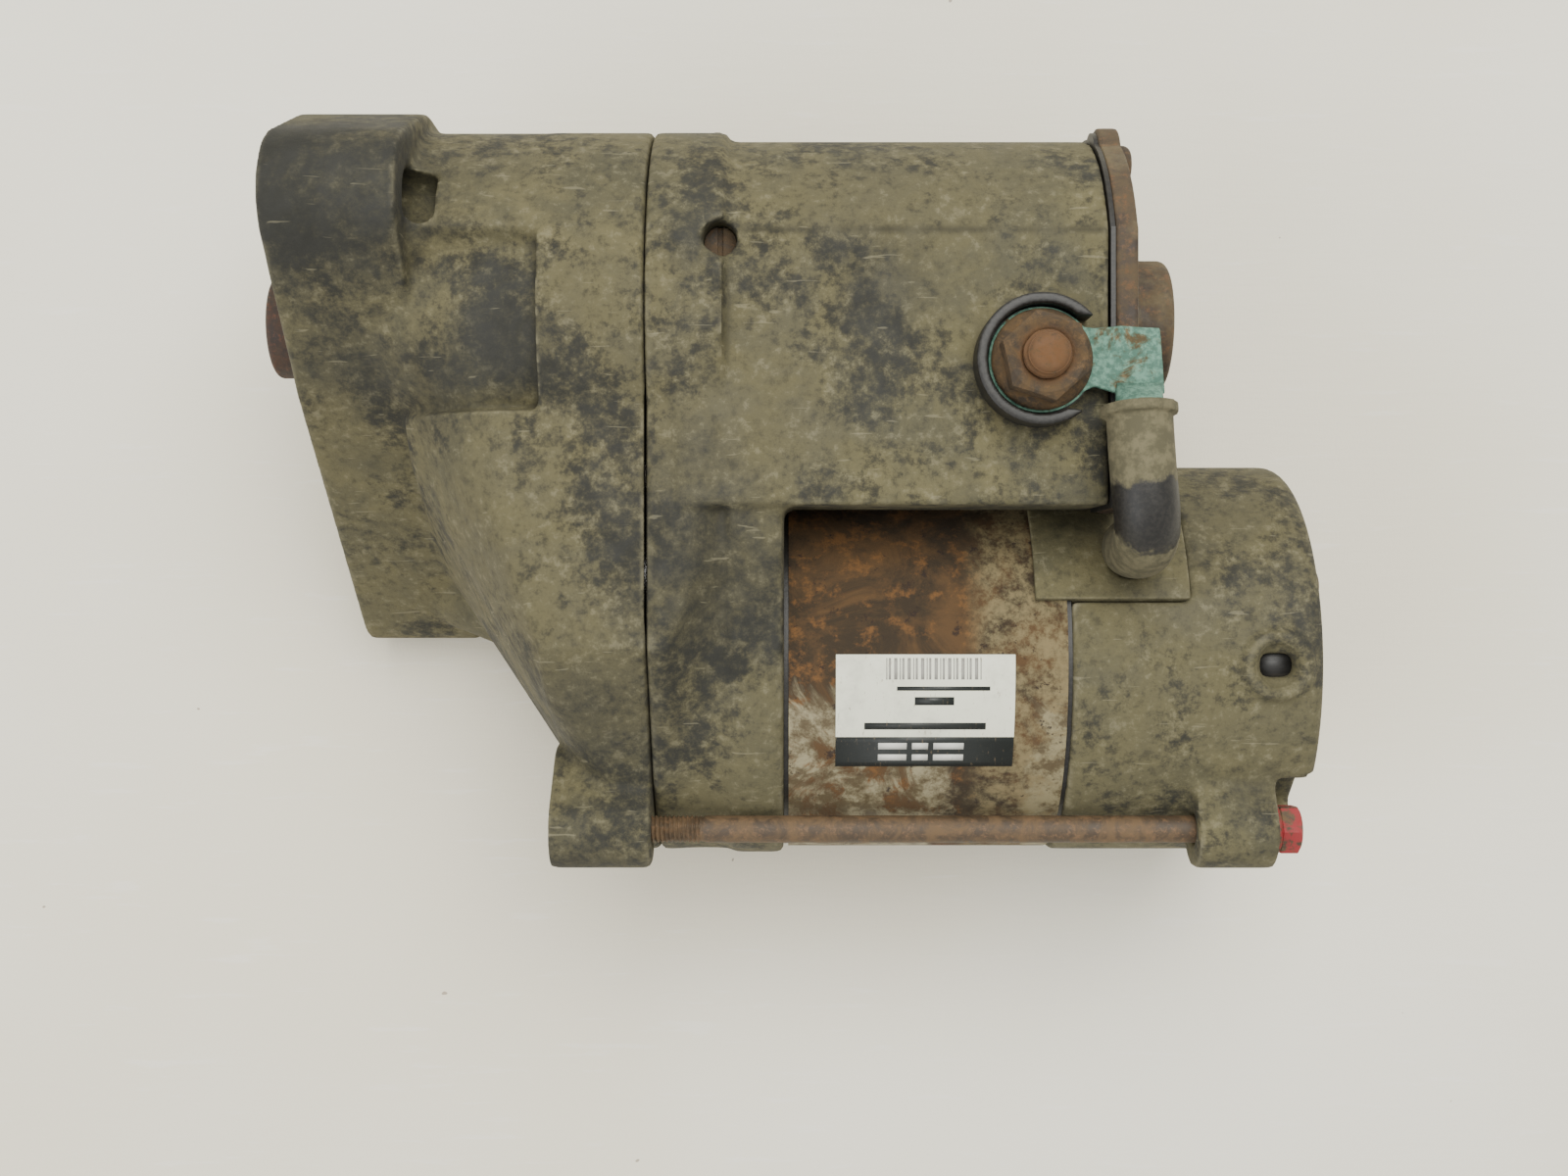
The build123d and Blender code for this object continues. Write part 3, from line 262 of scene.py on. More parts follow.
def cast_metal(name, stains_and_shade=STAINS_AND_SHADE):
    """Die-cast aluminium under years of road dirt: tan dust, olive film, dark stain patches, pale worn
    edges, and painted shade in concave corners, along the solenoid pad's edge and in the recess by the seam.
    """
    s = Shader(name)
    broad, patches = s.noise(16, 5, 0.6, shift=3), s.noise(75, 8, 0.66, twist=0.4)
    specks, grain = s.noise(420, 6, 0.75, shift=1), s.noise(1500, 3, 0.8)
    colour = s.mix(s.step(patches, 0.34, 0.66), OLIVE, TAN)
    colour = s.mix(s.step(broad, 0.42, 0.62, (0.0, 0.65)), colour, KHAKI)
    colour = s.mix(s.step(specks, 0.48, 0.7, (0.0, 0.6)), colour, DARK_CAST)
    colour = s.mix(s.step(specks, 0.46, 0.33, (0.0, 0.3)), colour, PALE_CAST)
    film = s.noise(46, 7, 0.7, shift=7)
    mottle = s.math(
        "ADD", s.step(film, 0.3, 0.7, (-0.4, 0.25)), s.step(specks, 0.35, 0.65, (-0.14, 0.14))
    )
    # Darkens each listed patch, mottled: real staining, and painted shade where the list marks it.
    for centre, radius, strength in stains_and_shade:
        spread = s.math("ADD", s.near(centre, radius * 1.25, 0.0), mottle)
        colour = s.mix(s.step(spread, -0.1, 1.0, (0.0, strength)), colour, STAIN_AND_SHADE)
    # Painted shade: a dark line where the solenoid pad's flat top breaks into its round side.
    pad_edge_shade = s.product(
        s.between("X", 79, 142, 2), s.between("Y", 11.2, 12.4, 0.7), s.between("Z", 26, 40, 1)
    )
    colour = s.mix(s.product(pad_edge_shade, s.step(patches, 0.3, 0.6), 0.75), colour, DARK_CAST)
    # Painted shade: darkens concave corners.
    colour = s.mix(s.product(s.shaded_hollows(), 0.7), colour, DARK_CAST)
    worn = s.product(s.edges(), s.step(s.noise(160, 5, 0.7, shift=5), 0.4, 0.62), 0.75)
    colour = s.mix(worn, colour, PALE_CAST)
    scratch = s.step(s.noise(130, 2, 0.4, (1, 9, 1), 11, 0.6), 0.70, 0.74, (0.0, 0.3))
    colour = s.mix(scratch, colour, PALE_CAST)
    roughness = s.step(patches, 0.3, 0.7, (0.72, 0.94))
    bumps = [(patches, 0.5, 0.35), (specks, 0.3, 0.5), (grain, 0.12, 0.6)]
    return s.finish(colour, roughness, bumps)


def rusty_yoke():
    """Thin paint on a rolled steel shell, rusted through along the top and round the label."""
    s = Shader("rusty_painted_yoke")
    patches, spots = s.noise(70, 8, 0.7, twist=0.8), s.noise(260, 8, 0.75, shift=2)
    paint = s.mix(s.step(spots, 0.4, 0.6), rgb(78, 66, 42), rgb(140, 132, 104))
    rust = s.mix(s.step(patches, 0.4, 0.62), DARK_RUST, RUST)
    rust = s.mix(s.step(spots, 0.5, 0.66, (0.0, 0.8)), rust, ORANGE_RUST)
    top = s.between("Y", -64, -30, 9)
    right = s.between("X", 115, 128, 4)
    more = s.math("ADD", s.product(top, 0.34), s.product(right, 0.22))
    share = s.math("ADD", s.math("ADD", patches, more), s.product(spots, 0.25))
    colour = s.mix(s.step(share, 0.6, 0.72), paint, rust)
    dusty = s.product(s.between("X", 120, 140, 3), s.step(spots, 0.38, 0.6), 0.7)
    colour = s.mix(dusty, colour, rgb(126, 116, 84))
    pits = s.step(s.noise(330, 5, 0.8, shift=9), 0.6, 0.66)
    colour = s.mix(s.product(pits, 0.85), colour, rgb(38, 27, 21))
    streak = s.product(
        s.between("X", 96, 120, 6), s.between("Z", -19, -9, 2.5), s.between("Y", -99, -90, 1)
    )
    red = s.product(streak, s.step(spots, 0.42, 0.56), 0.7)
    colour = s.mix(red, colour, rgb(150, 52, 48))
    roughness = s.step(share, 0.5, 0.75, (0.55, 0.92))
    return s.finish(colour, roughness, [(share, 0.5, 0.5), (spots, 0.25, 0.6), (pits, 0.2, 0.4)])


def rusted(name, base, dark, bright, scale=1.0, dirt=0.5):
    """Rusted steel: a mottled base with dark patches, bright fresh rust and dust, and painted shade in its
    concave corners.
    """
    s = Shader(name)
    patches, spots = s.noise(150 * scale, 7, 0.7, twist=0.6), s.noise(700 * scale, 6, 0.75, shift=4)
    colour = s.mix(s.step(patches, 0.38, 0.62), dark, base)
    colour = s.mix(s.step(spots, 0.5, 0.68, (0.0, 0.8)), colour, bright)
    colour = s.mix(s.step(s.noise(60 * scale, 6, 0.7, shift=8), 0.5, 0.7, (0.0, dirt)), colour, DUST)
    # Painted shade: darkens concave corners.
    colour = s.mix(s.product(s.shaded_hollows(), 0.6), colour, rgb(34, 27, 22))
    roughness = s.step(patches, 0.3, 0.7, (0.6, 0.92))
    return s.finish(colour, roughness, [(patches, 0.3, 0.4), (spots, 0.15, 0.7)])


def steel(name, colour, rough, machined=(1, 1, 1), grease=0.3):
    """Clean or greased steel with fine tool marks and a thin uneven film of grease."""
    s = Shader(name, metallic=1.0)
    marks = s.noise(900, 3, 0.5, machined)
    film = s.noise(120, 5, 0.6, shift=6)
    dull = tuple(0.55 * c for c in colour[:3]) + (1.0,)
    shade = s.mix(s.step(marks, 0.35, 0.65, (0.0, 0.5)), colour, dull)
    shade = s.mix(s.step(film, 0.5, 0.66, (0.0, grease)), shade, rgb(58, 44, 26))
    roughness = s.step(marks, 0.3, 0.7, (rough, rough + 0.18))
    return s.finish(shade, roughness, [(marks, 0.03, 0.4), (film, 0.08, 0.2)])


def copper(name, colour, tarnish):
    """Bare copper with brown tarnish in patches."""
    s = Shader(name, metallic=1.0)
    marks, stain = s.noise(600, 4, 0.6, (4, 1, 1)), s.noise(140, 6, 0.7, shift=3)
    shade = s.mix(s.step(stain, 0.42, 0.62), colour, tarnish)
    return s.finish(shade, s.step(stain, 0.3, 0.7, (0.35, 0.6)), [(marks, 0.04, 0.4)])


def laminated(name):
    """A stack of varnished sheets, each half a millimetre thick, seen end on."""
    s = Shader(name, metallic=0.7)
    wave = s.node(
        "ShaderNodeTexWave",
        {"Vector": s.coords, "Scale": 320.0, "Distortion": 0.4, "Detail": 2.0},
        bands_direction="X",
    ).outputs["Fac"]
    stain = s.noise(150, 5, 0.6)
    shade = s.mix(s.step(wave, 0.35, 0.65), rgb(58, 56, 56), rgb(112, 110, 108))
    shade = s.mix(s.step(stain, 0.45, 0.65, (0.0, 0.5)), shade, rgb(74, 52, 34))
    return s.finish(shade, s.step(stain, 0.3, 0.7, (0.35, 0.6)), [(wave, 0.1, 0.7)])


def wound_copper(name):
    """Enamelled wire laid in close turns."""
    s = Shader(name, metallic=0.8)
    wave = s.node(
        "ShaderNodeTexWave",
        {"Vector": s.coords, "Scale": 190.0, "Distortion": 0.8, "Detail": 1.0},
        bands_direction="X",
    ).outputs["Fac"]
    stain = s.noise(200, 4, 0.6)
    shade = s.mix(s.step(wave, 0.2, 0.7), rgb(92, 40, 22), rgb(176, 96, 56))
    shade = s.mix(s.step(stain, 0.5, 0.7, (0.0, 0.5)), shade, rgb(70, 34, 22))
    return s.finish(shade, s.step(stain, 0.3, 0.7, (0.25, 0.4)), [(wave, 0.5, 0.9)])


def verdigris(name):
    """A copper strap under turquoise corrosion, with brown patches showing through."""
    s = Shader(name)
    patches, spots = s.noise(190, 7, 0.7, twist=0.5), s.noise(800, 5, 0.7, shift=2)
    green = s.mix(s.step(spots, 0.4, 0.62), rgb(70, 104, 90), rgb(104, 142, 124))
    brown = s.mix(s.step(spots, 0.45, 0.65), rgb(76, 66, 44), rgb(104, 90, 62))
    colour = s.mix(s.step(patches, 0.56, 0.66), green, brown)
    # Painted shade: darkens the strap's concave corners.
    colour = s.mix(s.product(s.shaded_hollows(), 0.5), colour, rgb(48, 54, 46))
    roughness = s.step(patches, 0.3, 0.7, (0.8, 0.93))
    return s.finish(colour, roughness, [(patches, 0.2, 0.4), (spots, 0.1, 0.6)])


def dusty_rubber(name, dust_amount, worn=None):
    """Black rubber greyed by dust, rubbed black again where hands and hoses touch it."""
    s = Shader(name)
    patches, grain = s.noise(110, 7, 0.7, shift=4), s.noise(1300, 3, 0.6)
    black = s.mix(s.step(grain, 0.4, 0.6), rgb(22, 21, 19), rgb(34, 32, 29))
    dusty = s.mix(s.step(s.noise(300, 6, 0.7), 0.4, 0.6), rgb(80, 76, 56), rgb(104, 98, 74))
    cover = s.step(patches, 0.62 - dust_amount, 0.78 - dust_amount)
    if worn:
        rubbed = s.math("ADD", s.near(*worn, 0.4), s.step(patches, 0.3, 0.7, (-0.35, 0.35)))
        cover = s.product(cover, s.step(rubbed, 0.65, 0.35))
    colour = s.mix(cover, black, dusty)
    roughness = s.mix(cover, (0.5, 0.5, 0.5, 1), (0.9, 0.9, 0.9, 1))
    return s.finish(colour, roughness, [(patches, 0.2, 0.3), (grain, 0.08, 0.5)])


def moulded(name, colour, light):
    """Moulded plastic or carbon with a fine grain and light scuffs."""
    s = Shader(name)
    grain, scuffs = s.noise(1100, 3, 0.6), s.noise(180, 6, 0.7, (1, 4, 1), 3)
    shade = s.mix(s.step(scuffs, 0.5, 0.68, (0.0, 0.7)), colour, light)
    return s.finish(shade, s.step(scuffs, 0.3, 0.7, (0.45, 0.7)), [(grain, 0.05, 0.4)])


def magnet_face(name):
    """Sintered ferrite with pinholes and chipped, powdery edges."""
    s = Shader(name)
    grain, pores = s.noise(900, 5, 0.7), s.cells(700)
    shade = s.mix(s.step(grain, 0.4, 0.62), rgb(44, 44, 47), rgb(66, 66, 69))
    shade = s.mix(s.step(pores, 0.2, 0.1, (0.0, 0.8)), shade, rgb(24, 24, 26))
    return s.finish(shade, s.step(grain, 0.3, 0.7, (0.55, 0.8)), [(pores, 0.1, 0.4)])


def printed(name, paper, marks=0.5):
    """Plastic label film, yellowed and rubbed, with dust in its scratches."""
    s = Shader(name)
    stain, scratch = s.noise(120, 7, 0.7), s.noise(500, 4, 0.7, (5, 1, 1), 6)
    dirty = tuple(0.62 * c for c in paper[:3]) + (1.0,)
    shade = s.mix(s.step(stain, 0.45, 0.7, (0.0, marks)), paper, dirty)
    shade = s.mix(s.step(scratch, 0.62, 0.68, (0.0, 0.5)), shade, rgb(120, 104, 80))
    return s.finish(shade, s.step(stain, 0.3, 0.7, (0.4, 0.6)), [(scratch, 0.03, 0.4)])


def painted_bolt():
    """The rusty bolt whose head carries a dab of red inspection paint."""
    s = Shader("rusty_bolt_with_red_dab")
    patches, spots = s.noise(200, 7, 0.7, twist=0.6), s.noise(800, 6, 0.75, shift=4)
    colour = s.mix(s.step(patches, 0.38, 0.62), rgb(62, 50, 36), rgb(96, 76, 52))
    colour = s.mix(s.step(spots, 0.5, 0.68, (0.0, 0.8)), colour, rgb(108, 82, 56))
    worn = s.step(s.noise(330, 6, 0.7, shift=7), 0.42, 0.52)
    dab = s.product(s.between("X", 173, 182, 1.2), s.between("Z", 9.5, 30, 1.2), worn)
    colour = s.mix(dab, colour, rgb(140, 40, 42))
    roughness = s.step(patches, 0.3, 0.7, (0.55, 0.85))
    return s.finish(colour, roughness, [(patches, 0.3, 0.4), (spots, 0.15, 0.6)])


def nut_rust():
    """Scaly brown rust, brighter and orange towards the stud's end."""
    s = Shader("scaly_nut_rust")
    patches, spots = s.noise(230, 7, 0.7, twist=0.7), s.noise(900, 6, 0.75, shift=4)
    colour = s.mix(s.step(patches, 0.38, 0.62), rgb(50, 40, 26), rgb(82, 64, 40))
    colour = s.mix(s.step(spots, 0.5, 0.68, (0.0, 0.7)), colour, rgb(100, 76, 46))
    low, high = box_mm("motor_terminal_nut")
    middle = (low + high) / 2
    centre = s.near((middle.x, middle.y, high.z), 5.6, 0.55)
    colour = s.mix(s.product(centre, s.step(spots, 0.3, 0.5)), colour, rgb(96, 66, 38))
    roughness = s.step(patches, 0.3, 0.7, (0.7, 0.95))
    return s.finish(colour, roughness, [(patches, 0.3, 0.5), (spots, 0.2, 0.8)])


MATERIALS = {
    "cast_housing": cast_metal("dirty_cast_aluminium"),
    "yoke_steel": rusty_yoke(),
    "cover_steel": rusted("rusty_cover_plate", rgb(78, 65, 46), rgb(48, 38, 28), rgb(98, 70, 44)),
    "rusty_bolt": rusted("rusty_bolt", rgb(78, 62, 42), rgb(48, 39, 28), rgb(98, 74, 48), 1.6),
    "rusty_nut": rusted("rusty_nut", rgb(98, 72, 46), rgb(54, 40, 28), rgb(134, 84, 42), 1.3, dirt=0.35),
    "collar_steel": rusted("dark_collar", rgb(70, 54, 44), rgb(44, 35, 30), rgb(96, 62, 44), 1.5, dirt=0.1),
    "clean_steel": steel("ground_steel", rgb(176, 176, 178), 0.22, (1, 6, 6)),
    "gear_steel": steel("greased_gear_steel", rgb(136, 132, 126), 0.32, grease=0.6),
    "spring_steel": steel("spring_steel", rgb(150, 150, 154), 0.3, grease=0.2),
    "iron": steel("turned_iron", rgb(128, 126, 124), 0.4, (8, 1, 1), 0.4),
    "laminated_iron": laminated("laminated_iron"),
    "magnet": magnet_face("ferrite"),
    "copper": copper("bare_copper", rgb(206, 128, 90), rgb(140, 82, 56)),
    "copper_wire": wound_copper("enamelled_wire"),
    "verdigris_copper": verdigris("verdigris_copper"),
    "carbon": moulded("brush_carbon", rgb(42, 42, 43), rgb(80, 78, 76)),
    "plastic": moulded("moulded_plastic", rgb(40, 37, 34), rgb(92, 84, 70)),
    "rubber": dusty_rubber("dusty_rubber", 0.12),
    "gasket": dusty_rubber("aged_gasket", 0.02),
    "label": printed("label_film", rgb(224, 225, 205)),
}
BOLT_PAINT = painted_bolt()
NUT_RUST = nut_rust()


# ---------------------------------------------------------------- mesh helpers

CIRCLE_POINTS = 64
MOST_TRIANGLES = 190000


def add_piece(name, mesh, node, material=None):
    """Puts a mesh in the scene as a piece that rides with a CAD node's body and takes its slot."""
    piece = bpy.data.objects.new(name, mesh)
    bpy.context.scene.collection.objects.link(piece)
    mesh.materials.clear()
    mesh.materials.append(material or MATERIALS[SLOT_OF[node]])
    for face in mesh.polygons:
        face.use_smooth = True
    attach(piece, NODES[node]["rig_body"])
    return piece


def evaluated(piece):
    """A piece's mesh with its modifiers applied."""
    graph = bpy.context.evaluated_depsgraph_get()
    return bpy.data.meshes.new_from_object(piece.evaluated_get(graph))


def rounded(node, voxel, passes, material=None, source=None):
    """Replaces a CAD node with a shape whose edges are rounded, as a casting's or a moulding's are."""
    work = bpy.data.objects.new(node + "_work", source or NODES[node].data.copy())
    bpy.context.scene.collection.objects.link(work)
    welder = bmesh.new()
    welder.from_mesh(work.data)
    bmesh.ops.remove_doubles(welder, verts=welder.verts, dist=2e-6)
    welder.to_mesh(work.data)
    welder.free()
    remesh = work.modifiers.new("remesh", "REMESH")
    remesh.mode = "VOXEL"
    remesh.voxel_size = voxel * MM * 1.0
    relax = work.modifiers.new("relax", "SMOOTH")
    relax.factor = 0.5
    relax.iterations = passes
    bpy.context.view_layer.update()
    mesh = evaluated(work)
    triangles = sum(len(face.vertices) - 2 for face in mesh.polygons)
    if triangles > MOST_TRIANGLES:
        work.data = mesh
        work.modifiers.clear()
        thin = work.modifiers.new("thin", "DECIMATE")
        thin.ratio = MOST_TRIANGLES / triangles
        bpy.context.view_layer.update()
        mesh = evaluated(work)
    mesh.name = node + "_shape"
    bpy.data.objects.remove(work)
    piece = add_piece(node + "_shape", mesh, node, material)
    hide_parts(node)


def hull_solid(sections):
    """The convex solid round circles: each section is (x, [(y, z, r), ...]) in millimetres."""
    made = bmesh.new()
    for x, circles in sections:
        for y, z, r in circles:
            for k in range(CIRCLE_POINTS):
                angle = 2 * pi * k / CIRCLE_POINTS
                made.verts.new((x * MM, (y + r * cos(angle)) * MM, (z + r * sin(angle)) * MM))
    result = bmesh.ops.convex_hull(made, input=made.verts)
    left_over = result["geom_interior"] + result["geom_unused"]
    spare = {v for v in left_over if isinstance(v, bmesh.types.BMVert)}
    bmesh.ops.delete(made, geom=list(spare), context="VERTS")
    mesh = bpy.data.meshes.new("hull")
    made.to_mesh(mesh)
    made.free()
    return mesh


def block(x0, x1, y0, y1, z0, z1):
    """A plain box used as a cutter or as a web."""
    made = bmesh.new()
    size = Matrix.Diagonal(((x1 - x0) * MM, (y1 - y0) * MM, (z1 - z0) * MM, 1))
    middle = Matrix.Translation(((x0 + x1) / 2 * MM, (y0 + y1) / 2 * MM, (z0 + z1) / 2 * MM))
    bmesh.ops.create_cube(made, size=1, matrix=middle @ size)
    mesh = bpy.data.meshes.new("block")
    made.to_mesh(mesh)
    made.free()
    return mesh


def rod(radius, x0, x1, centre=(0.0, 0.0), end_radius=None):
    """A round bar or a cone along X."""
    last = radius if end_radius is None else end_radius
    return hull_solid([(x0, [(*centre, radius)]), (x1, [(*centre, last)])])


def prism_x(outline, x0, x1):
    """The convex prism along X whose corners are (y, z)."""
    corners = [(y, z, 0.01) for y, z in outline]
    return hull_solid([(x0, corners), (x1, corners)])


def combine(start, *steps):
    """One solid from a start and steps of ("UNION" | "DIFFERENCE" | "INTERSECT", mesh)."""
    tools = []
    for mesh in (start, *(mesh for _, mesh in steps)):
        tool = bpy.data.objects.new("tool", mesh)
        bpy.context.scene.collection.objects.link(tool)
        tools.append(tool)
    base = tools[0]
    for (operation, _), tool in zip(steps, tools[1:]):
        cut = base.modifiers.new("cut", "BOOLEAN")
        cut.operation = operation
        cut.solver = "MANIFOLD"
        cut.object = tool
    bpy.context.view_layer.update()
    mesh = evaluated(base)
    for tool in tools:
        bpy.data.objects.remove(tool)
    return mesh


def along(origin, direction):
    """The matrix that puts local +Z along a direction from a point, both in millimetres."""
    turn = Vector(direction).to_track_quat("Z", "Y").to_matrix().to_4x4()
    return Matrix.Scale(MM, 4) @ Matrix.Translation(origin) @ turn


def surface_grid(shape, rows, columns, place):
    """A tube of quads: shape(row, turn) gives a local point, and the ends are closed."""
    mesh = bpy.data.meshes.new("grid")
    turns = [2 * pi * j / columns for j in range(columns)]
    points = [place @ Vector(shape(i, turn)) for i in range(rows) for turn in turns]
    faces = []
    for i in range(rows - 1):
        for j in range(columns):
            a, b = i * columns + j, i * columns + (j + 1) % columns
            faces.append((a, b, b + columns, a + columns))
    faces.append(tuple(reversed(range(columns))))
    faces.append(tuple(range((rows - 1) * columns, rows * columns)))
    mesh.from_pydata(points, [], faces)
    mesh.validate()
    return mesh


def turned(profile, place, columns=64):
    """A turned solid: profile lists (height, radius)."""
    def shape(i, angle):
        height, radius = profile[i]
        return (radius * cos(angle), radius * sin(angle), height)
    return surface_grid(shape, len(profile), columns, place)


def screw_thread(radius, pitch, depth, z0, z1, place, columns=48):
    """A threaded rod: a triangular ridge climbs one pitch a turn and fades out at each end."""
    rows_per_turn = 8
    rows = int((z1 - z0) / pitch * rows_per_turn) + 1

    def shape(i, angle):
        height = z0 + (z1 - z0) * i / (rows - 1)
        phase = height / pitch - angle / (2 * pi)
        ridge = abs(2 * (phase - floor(phase)) - 1)
        fade = min(1, (height - z0) / pitch, (z1 - height) / pitch)
        r = radius - depth * (1 - ridge * max(fade, 0)) if fade > 0 else radius - depth
        return (r * cos(angle), r * sin(angle), height)

    return surface_grid(shape, rows, columns, place)


def hexagon_head(flats, z0, z1, place, hole=0.0, columns=96):
    """A hexagon head or nut, chamfered at its far corners and dished round its middle or its hole."""
    chamfer_r = flats / 2 * 0.94
    edge, dish = 0.3, 0.5

    def reach(angle):
        within = (angle + pi / 6) % (pi / 3) - pi / 6
        return flats / 2 / cos(within)

    def top(r):
        return z1 - max(0, r - chamfer_r) * tan(radians(32))

    def shape(i, angle):
        full = reach(angle)
        rings = [
            (hole, z0), (full - edge, z0), (full, z0 + edge), (full, top(full)),
            (min(full, chamfer_r), z1), (max(hole + 0.8, chamfer_r * 0.6), z1 - dish * 0.4),
            (hole + 0.35, z1 - dish), (hole, z1 - dish - 0.5),
        ]
        r, z = rings[i]
        return (r * cos(angle), r * sin(angle), z)

    return surface_grid(shape, 8, columns, place)


def joined(name, meshes, node, material=None):
    """Several meshes as one piece."""
    whole = bmesh.new()
    for mesh in meshes:
        whole.from_mesh(mesh)
        bpy.data.meshes.remove(mesh)
    bmesh.ops.recalc_face_normals(whole, faces=whole.faces)
    mesh = bpy.data.meshes.new(name)
    whole.to_mesh(mesh)
    whole.free()
    return add_piece(name, mesh, node, material)


def sharpen(piece, angle=35):
    """Keeps edges crisp where faces meet at more than an angle."""
    mesh = piece.data
    sharp = bmesh.new()
    sharp.from_mesh(mesh)
    for edge in sharp.edges:
        edge.smooth = not (len(edge.link_faces) == 2 and edge.calc_face_angle(0) > radians(angle))
    sharp.to_mesh(mesh)
    sharp.free()


# ---------------------------------------------------------------- pieces

def about_motor(radius, turn):
    """The (y, z) at a radius and an angle in degrees round the armature's axis."""
    return (MOTOR_Y + radius * cos(radians(turn)), MOTOR_Z + radius * sin(radians(turn)))


def through_bolts():
    """Two long M5 bolts: threaded front ends, plain shanks and flanged heads."""
    low, high = box_mm("through_bolts")
    length = high.x - low.x
    seat = length - 4.6
    thread_end = 24.5
    shank_r, collar_r = 2.4, 4.6
    paints = (BOLT_PAINT, MATERIALS["rusty_bolt"])
    for number, (turn, paint) in enumerate(zip(BOLT_TURNS, paints), 1):
        place = along((low.x, *about_motor(BOLT_CIRCLE_R, turn)), (1, 0, 0))
        thread = screw_thread(radius=2.5, pitch=0.8, depth=0.42, z0=0.0, z1=thread_end, place=place)
        shank = turned([(thread_end - 0.4, 2.1), (thread_end + 0.6, shank_r), (seat, shank_r)], place, 40)
        collar = turned([(seat, shank_r), (seat, collar_r), (seat + 0.5, 4.7), (seat + 0.9, 4.2)], place, 48)
        head = hexagon_head(8.0, seat + 0.8, length, place)
        piece = joined(f"through_bolt_{number}", [thread, shank, collar, head], "through_bolts", paint)
        sharpen(piece)
        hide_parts("through_bolts")


def terminal_nut(node, facing):
    """An M8 flange nut that faces up (1) or down (-1)."""
    low, high = box_mm(node)
    middle = (low + high) / 2
    height = high.z - low.z
    seat = low.z if facing > 0 else high.z
    place = along((middle.x, middle.y, seat), (0, 0, facing)) @ Matrix.Rotation(radians(12), 4, "Z")
    radius = (high.x - low.x) / 2
    flats = min(13.0, radius * 1.7)
    flange = turned(
        [(0.0, 3.9), (0.0, radius - 0.3), (0.5, radius), (1.2, radius - 0.4), (2.0, flats / 2)], place, 72
    )
    body = hexagon_head(flats, 1.2, height, place, hole=3.7)
    piece = joined(node + "_hex", [flange, body], node, NUT_RUST)
    sharpen(piece)
    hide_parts(node)


def terminal_stud(node, facing):
    """An M8 threaded stud that points up (1) or down (-1), with a rounded end."""
    low, high = box_mm(node)
    middle = (low + high) / 2
    length = high.z - low.z
    base = low.z if facing > 0 else high.z
    place = along((middle.x, middle.y, base), (0, 0, facing))
    thread = screw_thread(radius=4.0, pitch=1.25, depth=0.6, z0=6.0, z1=length - 0.8, place=place)
    crown = turned([(length - 0.9, 3.3), (length - 0.3, 3.0), (length, 2.2), (length, 0.05)], place, 48)
    root = turned([(0.0, 3.4), (6.2, 3.4)], place, 48)
    piece = joined(node + "_thread", [root, thread, crown], node, NUT_RUST)
    sharpen(piece, 50)
    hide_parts(node)


def curved_patch(x0, x1, a0, a1, radius, thick=0.12):
    """A thin patch bent round the yoke, between two stations and two angles in degrees."""
    mesh = bpy.data.meshes.new("patch")
    points, faces = [], []
    steps = max(2, int(abs(a1 - a0) / 1.5))
    for i in range(steps + 1):
        angle = radians(a0 + (a1 - a0) * i / steps)
        for r in (radius, radius + thick):
            for x in (x0, x1):
                y = MOTOR_Y + r * cos(angle)
                z = MOTOR_Z + r * sin(angle)
                points.append((x * MM, y * MM, z * MM))
    for i in range(steps):
        a = 4 * i
        for p, q in ((2, 3), (1, 0), (0, 2), (3, 1)):
            faces.append((a + p, a + q, a + 4 + q, a + 4 + p))
    faces += [(0, 1, 3, 2), (4 * steps + 2, 4 * steps + 3, 4 * steps + 1, 4 * steps)]
    mesh.from_pydata(points, [], faces)
    return mesh


def rating_label():
    """A worn label with plain bars where a real one is printed."""
    low, high = box_mm("rating_label")
    a0, a1 = sorted(degrees(atan2(end.z - MOTOR_Z, end.y - MOTOR_Y)) for end in (low, high))
    width, turn = high.x - low.x, a1 - a0
    backing = curved_patch(low.x, high.x, a0, a1, YOKE_R + 0.02, 0.13)
    film = joined("rating_label_film", [backing], "rating_label")
    sharpen(film)
    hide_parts("rating_label")

    def bar(left, right, top, bottom, lift=0.14):
        """A printed patch whose sides are shares of the label's width and height."""
        return curved_patch(low.x + width * left, low.x + width * right, a0 + turn * top,
                            a0 + turn * bottom, YOKE_R + lift, 0.03)

    ink = printed("label_ink", rgb(30, 34, 32), 0.6)
    joined("rating_label_band", [bar(0.0, 1.0, 0.715, 1.0)], "rating_label", ink)
    faint = printed("label_faint_ink", rgb(150, 148, 140), 0.3)
    stripes = []
    left = 0.28
    for k in range(22):
        wide = 0.006 + 0.006 * (k * 7 % 3)
        stripes.append(bar(left, left + wide, 0.03, 0.21))
        left += wide + 0.008 + 0.005 * (k * 5 % 3)
    joined("rating_label_stripes", stripes, "rating_label", faint)
    lines = [bar(0.34, 0.86, 0.27, 0.305), bar(0.44, 0.66, 0.36, 0.43), bar(0.16, 0.84, 0.585, 0.645)]
    joined("rating_label_lines", lines, "rating_label", ink)
    light_ink = printed("label_light_ink", rgb(206, 206, 198))
    words = ((0.24, 0.4), (0.43, 0.52), (0.55, 0.72))
    marks = [bar(*word, row, row + 0.06, lift=0.17) for row in (0.77, 0.88) for word in words]
    joined("rating_label_marks", marks, "rating_label", light_ink)


